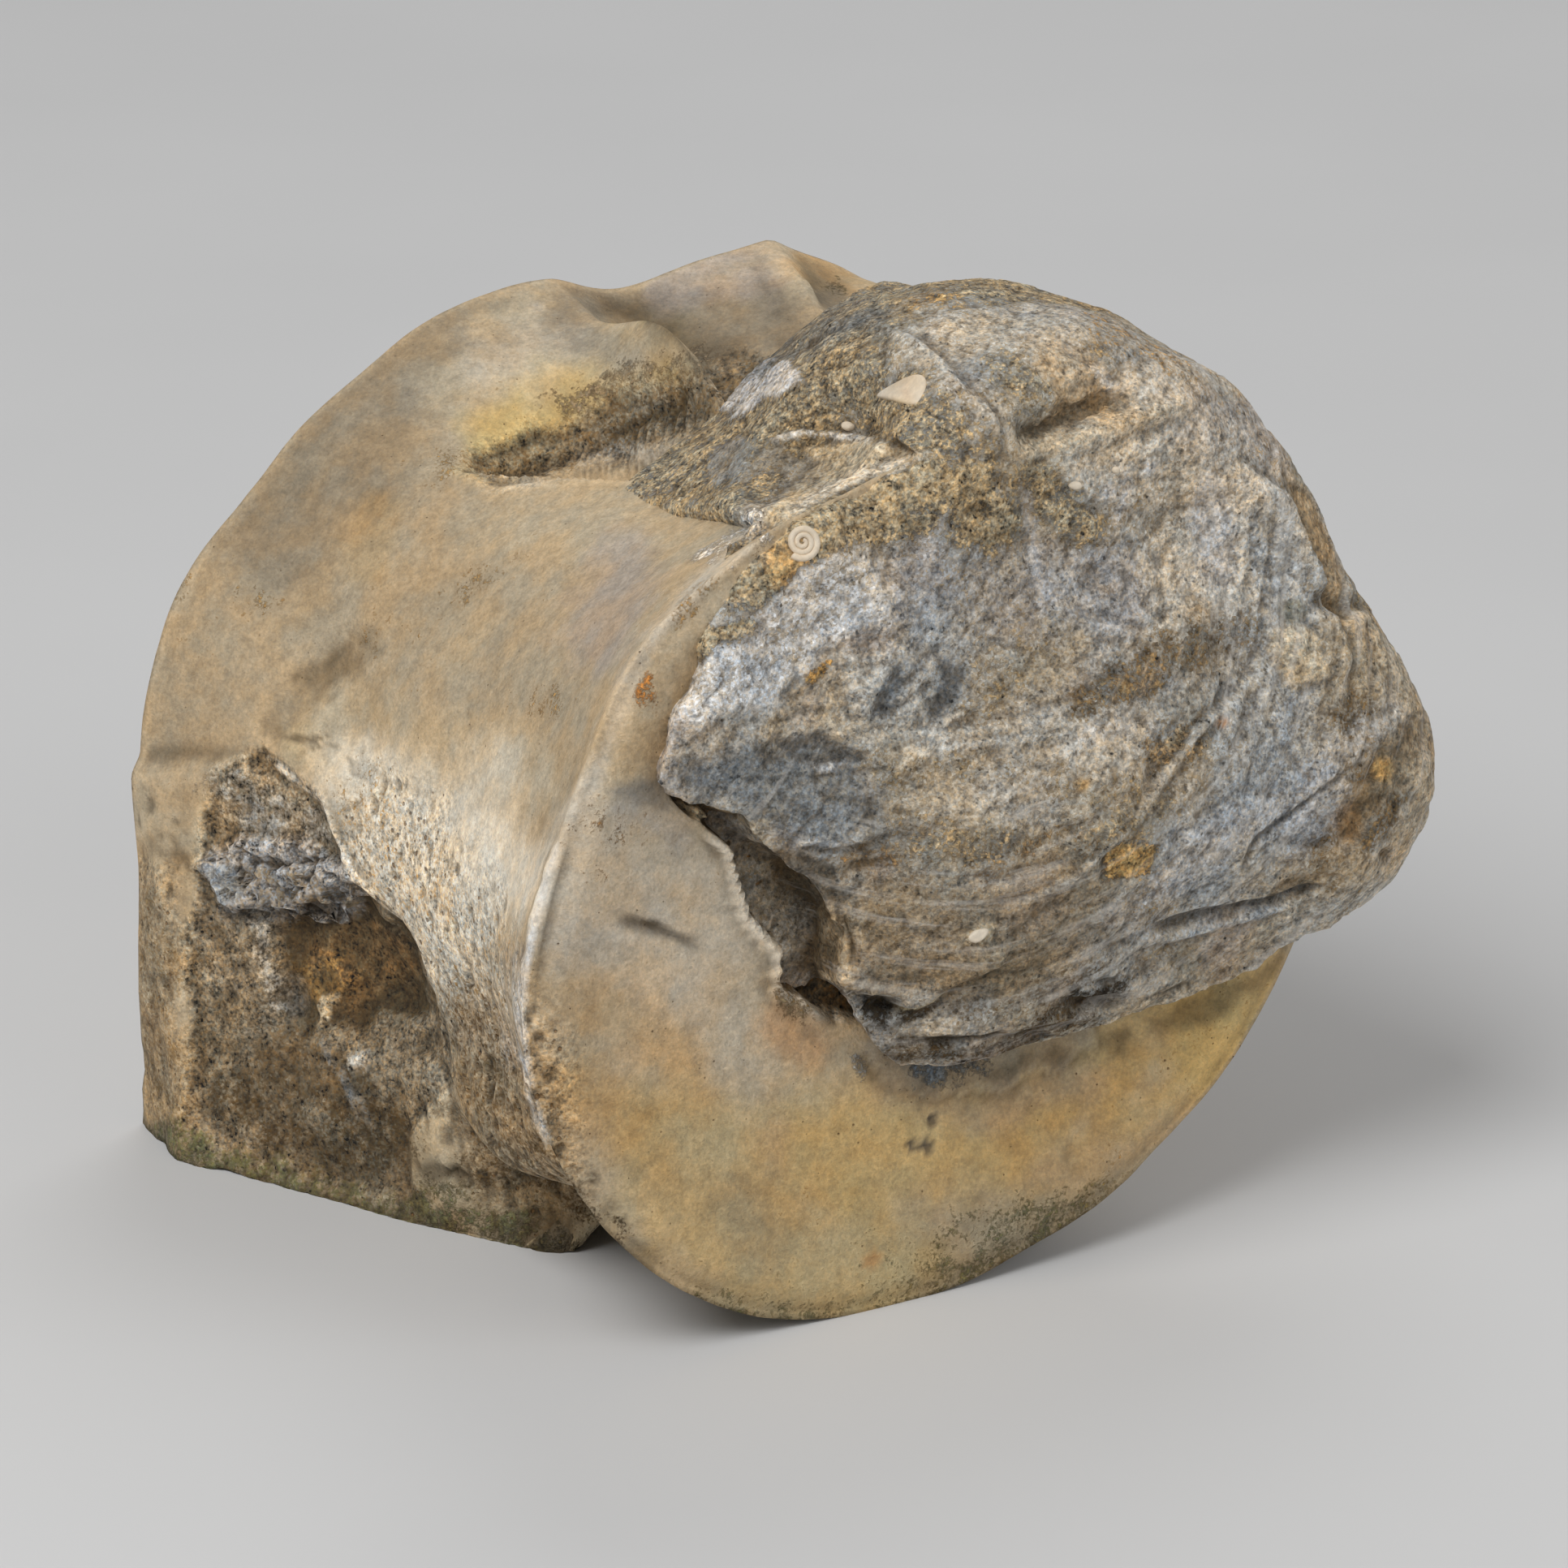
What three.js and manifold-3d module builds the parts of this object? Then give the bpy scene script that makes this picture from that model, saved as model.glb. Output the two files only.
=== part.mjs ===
// A fossil vertebra body with a lump of cemented sandy rock still stuck to its front end.
// Millimetres, +Z up. The bone lies on its side: its own axis is nearly level.
import * as THREE from 'three';
import { mergeVertices } from 'three/addons/utils/BufferGeometryUtils.js';
import Module from 'manifold-3d';

// ---- Driving dimensions of the bone --------------------------------------------------------
const CENTRUM_LENGTH = 61;
// Rim radii in even steps from the right-hand side of the front face round over the top.
const FRONT_RIM = [37.0, 38.8, 39.3, 34.8, 29.6, 29.9, 31.0, 31.6, 35.4, 36.8, 36.8, 35.2, 33.8, 33.8, 35.0];
const REAR_RIM = [36.0, 38.4, 39.0, 35.0, 33.0, 32.2, 33.0, 36.2, 37.4, 37.0, 34.6, 32.0, 33.0, 36.0, 36.4];
const WAIST = 0.80;
const FRONT_FLARE = 2.4;
const REAR_FLARE = 1.8;
const FRONT_DISH = 2.4;
const REAR_DISH = 3.4;
const RIM_ROUND = 0.9;
const RIM_ROUND_FROM = 0.9;
const RIM_ROUND_POWER = 1.4;
const MM_PER_DEG = 0.55;
const BONE_SWELL = 0.35;
const BONE_SWELL_SIZE = 17;

// ---- How the bone lies ---------------------------------------------------------------------
const AXIS_YAW_DEG = 30;
const AXIS_PITCH_DEG = 3.7;
const AXIS_CENTRE = new THREE.Vector3(-3.97, 1.46, 33.23);
const WORN_FLAT = 0.8;
const GROUND_WIDTH = 200;
const GROUND_DEPTH = 40;

// ---- The rock ------------------------------------------------------------------------------
const ROCK_HEART = new THREE.Vector3(10, 8, 14);
const ROCK_COVER = 2.2;
const ROCK_GAP = 0.4;
const ROCK_REACH = 70;
const ROCK_SWELL = 0.5;
const ROCK_SWELL_SIZE = 15;

// ---- Mesh fineness -------------------------------------------------------------------------
const BONE_SEGMENTS = 80;
const FLANK_RINGS = 30;
const FACE_RINGS = 6;
const ROCK_DETAIL = 13;
const HALVINGS = 12;

const HALF = CENTRUM_LENGTH / 2;

// ---- Small helpers -------------------------------------------------------------------------
const clamp01 = (x) => Math.min(Math.max(x, 0), 1);
const mix = (a, b, f) => a + (b - a) * f;

function smoothStep(from, to, x) {
  const f = clamp01((x - from) / (to - from));
  return f * f * (3 - 2 * f);
}

function softMin(a, b, blend) {
  const h = clamp01(0.5 + (0.5 * (b - a)) / blend);
  return mix(b, a, h) - blend * h * (1 - h);
}

const softMax = (a, b, blend) => -softMin(-a, -b, blend);
const degreesApart = (a, b) => ((a - b + 540) % 360) - 180;

// A smooth closed curve through evenly spaced values, read at an angle in degrees.
function readRing(values, degrees) {
  const n = values.length;
  const place = (((degrees % 360) + 360) % 360) / (360 / n);
  const i = Math.floor(place);
  const f = place - i;
  const [a, b, c, d] = [-1, 0, 1, 2].map((k) => values[(i + k + n) % n]);
  return b + 0.5 * f * (c - a + f * (2 * a - 5 * b + 4 * c - d + f * (3 * (b - c) + d - a)));
}

// Uneven ground between -1 and 1, from three crossed waves about `size` mm long.
function lumpy(x, y, z, size) {
  const k = (2 * Math.PI) / size;
  const a = Math.sin(k * (x + 0.35 * y) + 1.3) * Math.cos(k * (0.8 * z - 0.4 * x) + 0.4);
  const b = Math.sin(k * (0.9 * y - 0.5 * z) + 2.1) * Math.cos(k * (0.7 * x + 0.6 * z) + 4.2);
  const c = Math.sin(k * 1.7 * (0.6 * x + 0.8 * z - 0.3 * y) + 0.9);
  return 0.45 * a + 0.35 * b + 0.2 * c;
}

// ---- The bone ------------------------------------------------------------------------------
// Round the flank each point is found by its place along the axis (q, front end positive) and
// its angle in degrees from the right-hand side of the front face over the top.

// A soft hollow or swelling: full at its middle, spread `alongMm` along and `aroundDeg` round.
// A power below 2 draws it up into a crest.
function patchHeight(q, deg, patch) {
  const { height, q: q0, deg: deg0, alongMm, aroundDeg, turnDeg = 0, power = 2 } = patch;
  const dq = q - q0;
  const dp = degreesApart(deg, deg0) * MM_PER_DEG;
  const turn = THREE.MathUtils.degToRad(turnDeg);
  const u = (Math.cos(turn) * dq + Math.sin(turn) * dp) / alongMm;
  const v = (Math.cos(turn) * dp - Math.sin(turn) * dq) / (aroundDeg * MM_PER_DEG);
  return height * Math.exp(-(u * u + Math.abs(v) ** power));
}

// The deep arch socket on the upper left: it drops off sharply behind a slanting lip.
const SOCKET = {
  depth: 9.5, lipDeg: 108, slant: 0.6, dropMm: 2.2, floorMm: 2.5, riseMm: 8.5, halfLengthMm: 15,
};

function socketHeight(q, deg) {
  const { depth, lipDeg, slant, dropMm, floorMm, riseMm, halfLengthMm } = SOCKET;
  const p = degreesApart(deg, lipDeg) * MM_PER_DEG;
  const scale = Math.hypot(1, slant);
  const behind = Math.max(-(p + slant * q) / scale, 0);
  const along = (q - slant * p) / scale;
  const drop = 1 - Math.exp(-behind / dropMm);
  const rise = Math.exp(-((Math.max(behind - floorMm, 0) / riseMm) ** 2));
  return -depth * drop * rise * Math.exp(-((along / halfLengthMm) ** 4));
}

// The rib boss low on the left: a rough broken facet, its shoulder, back, sole and inner side.
const RIB_BOSS = [
  { normal: [-0.839, 0.164, 0.518], point: [-30.9, 1.6, -18.3] },
  { normal: [0.42, 0.10, 0.90], point: [-24.2, -22.0, 0.5] },
  { normal: [-0.985, 0.05, -0.10], point: [-38.2, -20.0, -26.0] },
  { normal: [-0.50, 0.86, 0.05], point: [-32.0, 1.0, -20.0] },
  { normal: [-0.16, -0.98, -0.05], point: [-37.0, -32.2, -25.0] },
  { normal: [0.80, -0.50, 0.33], point: [-24.0, -30.0, -3.0] },
].map(({ normal, point }) => ({
  normal: new THREE.Vector3(...normal).normalize(),
  point: new THREE.Vector3(...point),
}));
const BOSS_FROM_DEG = [150, 182];
const BOSS_TO_DEG = [238, 258];
// The boss on the hidden side mirrors the first one about the bone's upright plane, more worn.
const UPRIGHT_DEG = 87;
const FAR_BOSS_WEAR = 1.2;
const BOSS_SIDE_BLEND = 2.4;
const BOSS_LEAST_FACING = 0.02;
const BOSS_FOOT_BLEND = 2.5;
const BOSS_INNER_RADIUS = 15;
const BOSS_FAR_RADIUS = 60;

// The flank's other hollows and swellings.
const PATCHES = {
  socketCrest: { height: 8.2, q: -9, deg: 87, alongMm: 12, aroundDeg: 5, power: 1.3 },
  canalTrough: { height: -5.5, q: -15, deg: 77, alongMm: 15, aroundDeg: 11 },
  farCrest: { height: 2.0, q: -20, deg: 57, alongMm: 14, aroundDeg: 4, power: 1.3 },
  farLobe: { height: 6, q: -18, deg: 43, alongMm: 13, aroundDeg: 8 },
  rearPeak: { height: 0.8, q: -27, deg: 57, alongMm: 7, aroundDeg: 9 },
  sideGroove: { height: -1.2, q: -13, deg: 163, alongMm: 12, aroundDeg: 8, turnDeg: 35 },
  lowerTrough: { height: -4.2, q: 14, deg: 236, alongMm: 7, aroundDeg: 5 },
  lowerFlange: { height: 3.2, q: 11, deg: 245, alongMm: 14, aroundDeg: 9 },
  bossApron: { height: 6, q: 9, deg: 222, alongMm: 12, aroundDeg: 11 },
};

function distanceToBossSide(q, deg) {
  const angle = THREE.MathUtils.degToRad(deg);
  let nearest = BOSS_FAR_RADIUS;
  for (const { normal, point } of RIB_BOSS) {
    const facing = normal.x * Math.cos(angle) + normal.y * Math.sin(angle);
    if (facing > BOSS_LEAST_FACING) {
      const reach = (normal.dot(point) - normal.z * q) / facing;
      nearest = softMin(nearest, reach, BOSS_SIDE_BLEND);
    }
  }
  return nearest;
}

function bossReach(q, deg) {
  const angle = ((deg % 360) + 360) % 360;
  const share = smoothStep(...BOSS_FROM_DEG, angle) * (1 - smoothStep(...BOSS_TO_DEG, angle));
  return mix(BOSS_INNER_RADIUS, distanceToBossSide(q, deg), share);
}

function flankRadius(q, deg) {
  const along = q / HALF;
  const rim = mix(readRing(REAR_RIM, deg), readRing(FRONT_RIM, deg), (along + 1) / 2);
  const flare = Math.abs(along) ** (along > 0 ? FRONT_FLARE : REAR_FLARE);
  const spool = rim * mix(WAIST, 1, flare);
  const nearBoss = bossReach(q, deg);
  const farBoss = bossReach(q, 2 * UPRIGHT_DEG - deg) - FAR_BOSS_WEAR;
  const bossed = softMax(softMax(spool, nearBoss, BOSS_FOOT_BLEND), farBoss, BOSS_FOOT_BLEND);
  return Object.values(PATCHES).reduce(
    (radius, patch) => radius + patchHeight(q, deg, patch),
    bossed + socketHeight(q, deg),
  );
}

// How far along the axis an end face stands at a share of the way from its middle to its rim.
function faceHeight(share, end) {
  const dish = end > 0 ? FRONT_DISH : REAR_DISH;
  const edge = RIM_ROUND * smoothStep(RIM_ROUND_FROM, 1, share) ** RIM_ROUND_POWER;
  return end * (HALF - dish * (1 - share * share) - edge);
}

// The profile runs up the axis: rear face, flank, front face. Radius 1 marks the rim.
function spoolProfile() {
  const points = [];
  for (let i = 0; i < FACE_RINGS; i++) {
    points.push(new THREE.Vector2(Math.sqrt(i / FACE_RINGS), -HALF));
  }
  for (let i = 0; i <= FLANK_RINGS; i++) {
    points.push(new THREE.Vector2(1, mix(-HALF + RIM_ROUND, HALF - RIM_ROUND, i / FLANK_RINGS)));
  }
  for (let i = FACE_RINGS - 1; i >= 0; i--) {
    points.push(new THREE.Vector2(Math.sqrt(i / FACE_RINGS), HALF));
  }
  return points;
}

function boneGeometry(grow) {
  const geometry = new THREE.LatheGeometry(spoolProfile(), BONE_SEGMENTS);
  const place = geometry.getAttribute('position');
  for (let i = 0; i < place.count; i++) {
    const angle = Math.atan2(place.getX(i), place.getZ(i));
    const deg = THREE.MathUtils.radToDeg(angle);
    const share = Math.hypot(place.getX(i), place.getZ(i));
    const station = place.getY(i);
    const end = Math.sign(station);
    const onFlank = Math.abs(station) < HALF - 1e-6;
    const q = onFlank ? station : faceHeight(share, end);
    const rimRadius = flankRadius(onFlank ? station : end * (HALF - RIM_ROUND), deg);
    const plainRim = readRing(end > 0 ? FRONT_RIM : REAR_RIM, deg);
    const radius = onFlank ? rimRadius + grow : share * (mix(plainRim, rimRadius, share ** 3) + grow);
    const [across, up] = [radius * Math.cos(angle), radius * Math.sin(angle)];
    const swell = BONE_SWELL * lumpy(across, up, q, BONE_SWELL_SIZE);
    const reach = Math.max(radius + (onFlank ? swell : swell * share), 0);
    place.setXYZ(i, reach * Math.cos(angle), reach * Math.sin(angle), q + end * (onFlank ? 0 : grow));
  }
  return geometry;
}

// ---- The rock on the front face ------------------------------------------------------------
// Swellings of the crust: middle (across, up, forward), spread and height.
const ROCK_SWELLINGS = [
  { middle: [13, 2, 30], spread: [19, 12, 14], height: 8.5 },
  { middle: [2, -8, 30], spread: [9, 8, 9], height: 2.5 },
  { middle: [40, 0, 26], spread: [11, 9, 11], height: 8.5 },
  { middle: [39, -9, 27], spread: [8, 6, 9], height: 1.8 },
  { middle: [12, 34, 16], spread: [16, 12, 14], height: 4.2 },
  { middle: [-16, 27, 6], spread: [11, 9, 14], height: -11 },
  { middle: [-2, 33, -7], spread: [10, 9, 11], height: -11 },
  { middle: [9, 34, -9], spread: [8, 8, 8], height: -2.5 },
  { middle: [-6, 31, 22], spread: [5, 4, 5], height: -12 },
];
// The broken edge of the crust on the front face, from the top of the rim down to its left tip
// and along the ledge; beyond it the bone is bare.
const ROCK_EDGE = [
  [-20, 60], [-12, 44], [-3.5, 32], [0.1, 29.9], [-9.7, 27], [-14.5, 24.8], [-17.9, 21.2],
  [-20.1, 17.3], [-22.2, 13.5], [-24.3, 10.3], [-21.8, 8.3], [-17.2, 6], [-11.7, 0], [-9.8, -2.8], [-9, -9.2],
  [-7, -13.3], [-2.3, -17.5], [2.6, -18.1], [9, -17.2], [17, -15.9], [24.3, -14.1],
  [32.5, -11.2], [39, -10.8], [60, -9],
];
const BARE_CORNERS = [[60, -60], [-60, -60], [-60, 60]];
const EDGE_FROM = 27;
const EDGE_TO = 60;
// The planes behind and left of which there is no rock, and how softly it is rounded to them.
const ROCK_BACK = {
  normal: new THREE.Vector3(-0.43, 0.36, -0.83).normalize(),
  point: new THREE.Vector3(0, 29, -3),
  blend: 2,
};
const ROCK_LEFT = {
  normal: new THREE.Vector3(-0.87, -0.50, 0.02).normalize(),
  point: new THREE.Vector3(-11, 26, 10),
  blend: 1.5,
};
// The left plane applies to the flank alone: it backs away from the front face this fast.
const LEFT_FREE_FROM = 26.5;
const LEFT_FREE_SLOPE = 8;
// Under the crust the rock stops at a sloping floor inside the bone.
const ROCK_FLOOR = { forward: 8, up: 10, slope: 0.9, blend: 3 };
const DRUM_ROUND = 3;
const DRUM_SHARE = 0.985;
const DRUM_SHORT = 1.5;

// Distance outside a plain drum with rounded edges that the crust is laid on.
function distanceToDrum(x, y, z) {
  const deg = THREE.MathUtils.radToDeg(Math.atan2(y, x));
  const side = Math.hypot(x, y) - DRUM_SHARE * readRing(FRONT_RIM, deg) + DRUM_ROUND;
  const front = z - (HALF - DRUM_SHORT) + DRUM_ROUND;
  return side < 0 && front < 0 ? Math.max(side, front) - DRUM_ROUND
    : Math.hypot(Math.max(side, 0), Math.max(front, 0)) - DRUM_ROUND;
}

function rockThickness(x, y, z) {
  return ROCK_SWELLINGS.reduce((sum, { middle, spread, height }) => {
    const away = ((x - middle[0]) / spread[0]) ** 2 + ((y - middle[1]) / spread[1]) ** 2
      + ((z - middle[2]) / spread[2]) ** 2;
    return sum + height * Math.exp(-away);
  }, ROCK_COVER);
}

// Negative inside the rock, positive outside.
function rockField(x, y, z) {
  const at = new THREE.Vector3(x, y, z);
  const swell = ROCK_SWELL * lumpy(x, y, z, ROCK_SWELL_SIZE);
  const crust = distanceToDrum(x, y, z) - rockThickness(x, y, z) - swell;
  const back = at.clone().sub(ROCK_BACK.point).dot(ROCK_BACK.normal);
  const freed = LEFT_FREE_SLOPE * Math.max(z - LEFT_FREE_FROM, 0);
  const left = at.clone().sub(ROCK_LEFT.point).dot(ROCK_LEFT.normal) - freed;
  const floor = ROCK_FLOOR.forward - z - ROCK_FLOOR.slope * (y - ROCK_FLOOR.up);
  const trimmed = softMax(softMax(crust, back, ROCK_BACK.blend), left, ROCK_LEFT.blend);
  return softMax(trimmed, floor, ROCK_FLOOR.blend);
}

function rockGeometry() {
  const geometry = new THREE.IcosahedronGeometry(1, ROCK_DETAIL);
  const place = geometry.getAttribute('position');
  const ray = new THREE.Vector3();
  const at = new THREE.Vector3();
  const isInside = (reach) => {
    at.copy(ray).multiplyScalar(reach).add(ROCK_HEART);
    return rockField(at.x, at.y, at.z) < 0;
  };
  for (let i = 0; i < place.count; i++) {
    ray.fromBufferAttribute(place, i).normalize();
    let inner = 1;
    for (let reach = 2; reach < ROCK_REACH; reach++) {
      if (isInside(reach)) inner = reach;
    }
    let outer = inner + 1;
    for (let step = 0; step < HALVINGS; step++) {
      const middle = (inner + outer) / 2;
      if (isInside(middle)) inner = middle;
      else outer = middle;
    }
    at.copy(ray).multiplyScalar(inner).add(ROCK_HEART);
    place.setXYZ(i, at.x, at.y, at.z);
  }
  return geometry;
}

// ---- Joining and cutting -------------------------------------------------------------------
const solidTools = await Module();
solidTools.setup();

function toSolid(geometry) {
  const bare = geometry.clone();
  bare.deleteAttribute('normal');
  bare.deleteAttribute('uv');
  const merged = mergeVertices(bare, 1e-4);
  return new solidTools.Manifold(new solidTools.Mesh({
    numProp: 3,
    vertProperties: new Float32Array(merged.getAttribute('position').array),
    triVerts: new Uint32Array(merged.getIndex().array),
  }));
}

function toGeometry(solid) {
  const { vertProperties, triVerts } = solid.getMesh();
  const geometry = new THREE.BufferGeometry();
  geometry.setAttribute('position', new THREE.BufferAttribute(vertProperties, 3));
  geometry.setIndex(new THREE.BufferAttribute(triVerts, 1));
  return geometry;
}

const fossil = new THREE.Group();
fossil.rotation.set(
  Math.PI / 2 - THREE.MathUtils.degToRad(AXIS_PITCH_DEG),
  0,
  THREE.MathUtils.degToRad(AXIS_YAW_DEG),
  'ZXY',
);
fossil.position.copy(AXIS_CENTRE);
fossil.updateMatrix();

// Everything below the worn sole is cut away, so the fossil rests on true flats.
function groundBlock() {
  const block = new THREE.BoxGeometry(GROUND_WIDTH, GROUND_WIDTH, GROUND_DEPTH);
  block.translate(0, 0, WORN_FLAT - GROUND_DEPTH / 2);
  block.applyMatrix4(fossil.matrix.clone().invert());
  return toSolid(block);
}

const bone = new THREE.Mesh(
  toGeometry(toSolid(boneGeometry(0)).subtract(groundBlock())),
  new THREE.MeshStandardMaterial({ color: 0xd3bc96, roughness: 0.78, metalness: 0 }),
);
bone.name = 'vertebra';

// What stands on the bare part of the front face and is broken off the crust.
function bareBlock() {
  const corners = [...ROCK_EDGE, ...BARE_CORNERS].map(([x, y]) => new THREE.Vector2(x, y));
  const outline = new THREE.Shape(corners);
  const block = new THREE.ExtrudeGeometry(outline, { depth: EDGE_TO - EDGE_FROM, bevelEnabled: false });
  block.translate(0, 0, EDGE_FROM);
  return toSolid(block);
}

const rock = new THREE.Mesh(
  toGeometry(
    toSolid(rockGeometry()).subtract(bareBlock()).subtract(toSolid(boneGeometry(ROCK_GAP))),
  ),
  new THREE.MeshStandardMaterial({ color: 0x9a958c, roughness: 0.92, metalness: 0 }),
);
rock.name = 'matrix';

fossil.add(bone, rock);

// The origin is the middle of the sole: the bottom centre of the box round everything.
const part = new THREE.Group();
part.add(fossil);
const box = new THREE.Box3().setFromObject(part, true);
fossil.position.sub(new THREE.Vector3((box.min.x + box.max.x) / 2, (box.min.y + box.max.y) / 2, box.min.z));

export default part;
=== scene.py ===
"""Looks of a fossil vertebra with cemented rock: carved bone, layered rock, floor, light and camera.

Lengths inside the forms are millimetres in the bone's own frame: across (to the right), up and
forward (out of the front face). Finished meshes are in metres in the shared frame.
"""

import logging
import math
from dataclasses import dataclass
from enum import Enum

import bmesh
import bpy
import numpy as np
from mathutils import Matrix, Vector
from mathutils.bvhtree import BVHTree


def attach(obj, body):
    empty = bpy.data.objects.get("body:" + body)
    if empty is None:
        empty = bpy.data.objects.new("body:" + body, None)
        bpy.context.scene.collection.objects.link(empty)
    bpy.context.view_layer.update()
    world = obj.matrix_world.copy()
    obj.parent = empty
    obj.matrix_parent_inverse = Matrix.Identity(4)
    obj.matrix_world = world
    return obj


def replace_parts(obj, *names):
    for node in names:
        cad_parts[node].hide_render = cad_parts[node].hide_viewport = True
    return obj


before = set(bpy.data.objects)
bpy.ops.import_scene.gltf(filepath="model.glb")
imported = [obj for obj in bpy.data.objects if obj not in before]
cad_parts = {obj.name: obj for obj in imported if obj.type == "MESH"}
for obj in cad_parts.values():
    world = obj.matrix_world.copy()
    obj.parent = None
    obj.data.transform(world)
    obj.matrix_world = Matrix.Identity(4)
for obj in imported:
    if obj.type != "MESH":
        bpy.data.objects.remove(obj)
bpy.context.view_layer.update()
MM = 0.001
# Length along the flank of one degree round the axis, in millimetres.
MM_PER_DEG = 0.55
log = logging.getLogger("fossil")

Points = tuple[tuple[float, float], ...]


# ---- Numbers and noise ---------------------------------------------------------------------

def ramp(start: float, stop: float, value: np.ndarray) -> np.ndarray:
    """Rises smoothly from 0 to 1.

    Args:
        start: Value where the rise begins.
        stop: Value where it ends; it may be the smaller one.
        value: What is read.

    Returns:
        The share of the rise, 0 to 1.
    """
    share = np.clip((value - start) / (stop - start), 0.0, 1.0)
    return share * share * (3.0 - 2.0 * share)


def soft_min(a: np.ndarray, b: np.ndarray, blend: float) -> np.ndarray:
    """Takes the smaller of two values with a rounded corner `blend` wide.

    Args:
        a: First value.
        b: Second value.
        blend: Width of the rounding.

    Returns:
        The rounded minimum.
    """
    h = np.clip(0.5 + 0.5 * (b - a) / blend, 0.0, 1.0)
    return b + (a - b) * h - blend * h * (1.0 - h)


def soft_max(a: np.ndarray, b: np.ndarray, blend: float) -> np.ndarray:
    """The rounded maximum of two values."""
    return -soft_min(-a, -b, blend)


def read_ring(values: tuple[float, ...], deg: np.ndarray) -> np.ndarray:
    """Reads a smooth closed curve through evenly spaced values.

    Args:
        values: One value for each equal step round the ring.
        deg: Where to read it, in degrees.

    Returns:
        The value of the curve there.
    """
    ring = np.asarray(values)
    place = np.mod(deg, 360.0) / (360.0 / len(ring))
    i = np.floor(place).astype(int)
    f = place - i
    a, b, c, d = (ring[(i + k) % len(ring)] for k in (-1, 0, 1, 2))
    return b + 0.5 * f * (c - a + f * (2 * a - 5 * b + 4 * c - d + f * (3 * (b - c) + d - a)))


def lumpy(at: np.ndarray, size: float) -> np.ndarray:
    """Uneven ground between -1 and 1 from three crossed waves, as on the solid model.

    Args:
        at: Points, n by 3.
        size: Length of the longest wave.

    Returns:
        One height for each point.
    """
    x, y, z = at.T
    k = 2.0 * math.pi / size
    a = np.sin(k * (x + 0.35 * y) + 1.3) * np.cos(k * (0.8 * z - 0.4 * x) + 0.4)
    b = np.sin(k * (0.9 * y - 0.5 * z) + 2.1) * np.cos(k * (0.7 * x + 0.6 * z) + 4.2)
    c = np.sin(k * 1.7 * (0.6 * x + 0.8 * z - 0.3 * y) + 0.9)
    return 0.45 * a + 0.35 * b + 0.2 * c


@dataclass(frozen=True)
class Noise:
    """Repeatable noise in space, the same on every run for one seed."""

    seed: int = 1

    def _hash(self, cell: np.ndarray, turn: int = 0) -> np.ndarray:
        """Gives each whole-numbered cell a share between 0 and 1.

        Args:
            cell: Cells, ... by 3, whole numbers.
            turn: Which of several independent shares.

        Returns:
            One share for each cell.
        """
        c = cell.astype(np.int64)
        h = c[..., 0] * 374761393 + c[..., 1] * 668265263 + c[..., 2] * 2147483647
        h = (h + (self.seed + 31 * turn) * 1274126177) & 0xFFFFFFFF
        h = ((h ^ (h >> 13)) * 1274126177) & 0xFFFFFFFF
        h = ((h ^ (h >> 16)) * 668265263) & 0xFFFFFFFF
        return ((h ^ (h >> 15)) & 0xFFFF) / 65535.0

    def soft(self, at: np.ndarray, size: float) -> np.ndarray:
        """Smooth noise with lumps of one size.

        Args:
            at: Points, n by 3.
            size: How far across the lumps are.

        Returns:
            One height from -1 to 1 for each point.
        """
        p = at / size + 0.37 * self.seed
        base = np.floor(p)
        f = p - base
        f = f * f * (3.0 - 2.0 * f)
        total = np.zeros(len(p))
        for corner in np.ndindex(2, 2, 2):
            step = np.array(corner)
            weight = np.prod(np.where(step == 1, f, 1.0 - f), axis=1)
            total += weight * self._hash(base + step)
        return 2.0 * total - 1.0

    def rough(self, at: np.ndarray, size: float, octaves: int = 4) -> np.ndarray:
        """Sum of ever finer soft noise.

        Args:
            at: Points, n by 3.
            size: How far across the widest lumps are.
            octaves: How many layers, each half as wide and high as the last.

        Returns:
            One height for each point, about -1 to 1.
        """
        total, height = np.zeros(len(at)), 1.0
        for octave in range(octaves):
            layer = Noise(self.seed + 7 * octave)
            total += height * layer.soft(at, size / 2.0**octave)
            height *= 0.5
        return total / 1.6

    def cells(self, at: np.ndarray, size: float) -> tuple[np.ndarray, np.ndarray, np.ndarray]:
        """Scattered cells, as of flakes, chips or pits.

        Args:
            at: Points, n by 3.
            size: Distance between cells.

        Returns:
            Distances to the two nearest middles, in cells, and the nearest cell's share.
        """
        p = at / size + 0.11 * self.seed
        base = np.floor(p)
        first = np.full(len(p), 9.0)
        second = np.full(len(p), 9.0)
        name = np.zeros(len(p))
        for corner in np.ndindex(3, 3, 3):
            cell = base + (np.array(corner) - 1)
            middle = cell + np.stack([self._hash(cell, k) for k in (1, 2, 3)], axis=-1)
            away = np.linalg.norm(p - middle, axis=1)
            nearer = away < first
            second = np.where(nearer, first, np.minimum(second, away))
            name = np.where(nearer, self._hash(cell, 4), name)
            first = np.minimum(first, away)
        return first, second, name


# ---- Where the bone lies and where it is seen from -----------------------------------------

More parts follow.
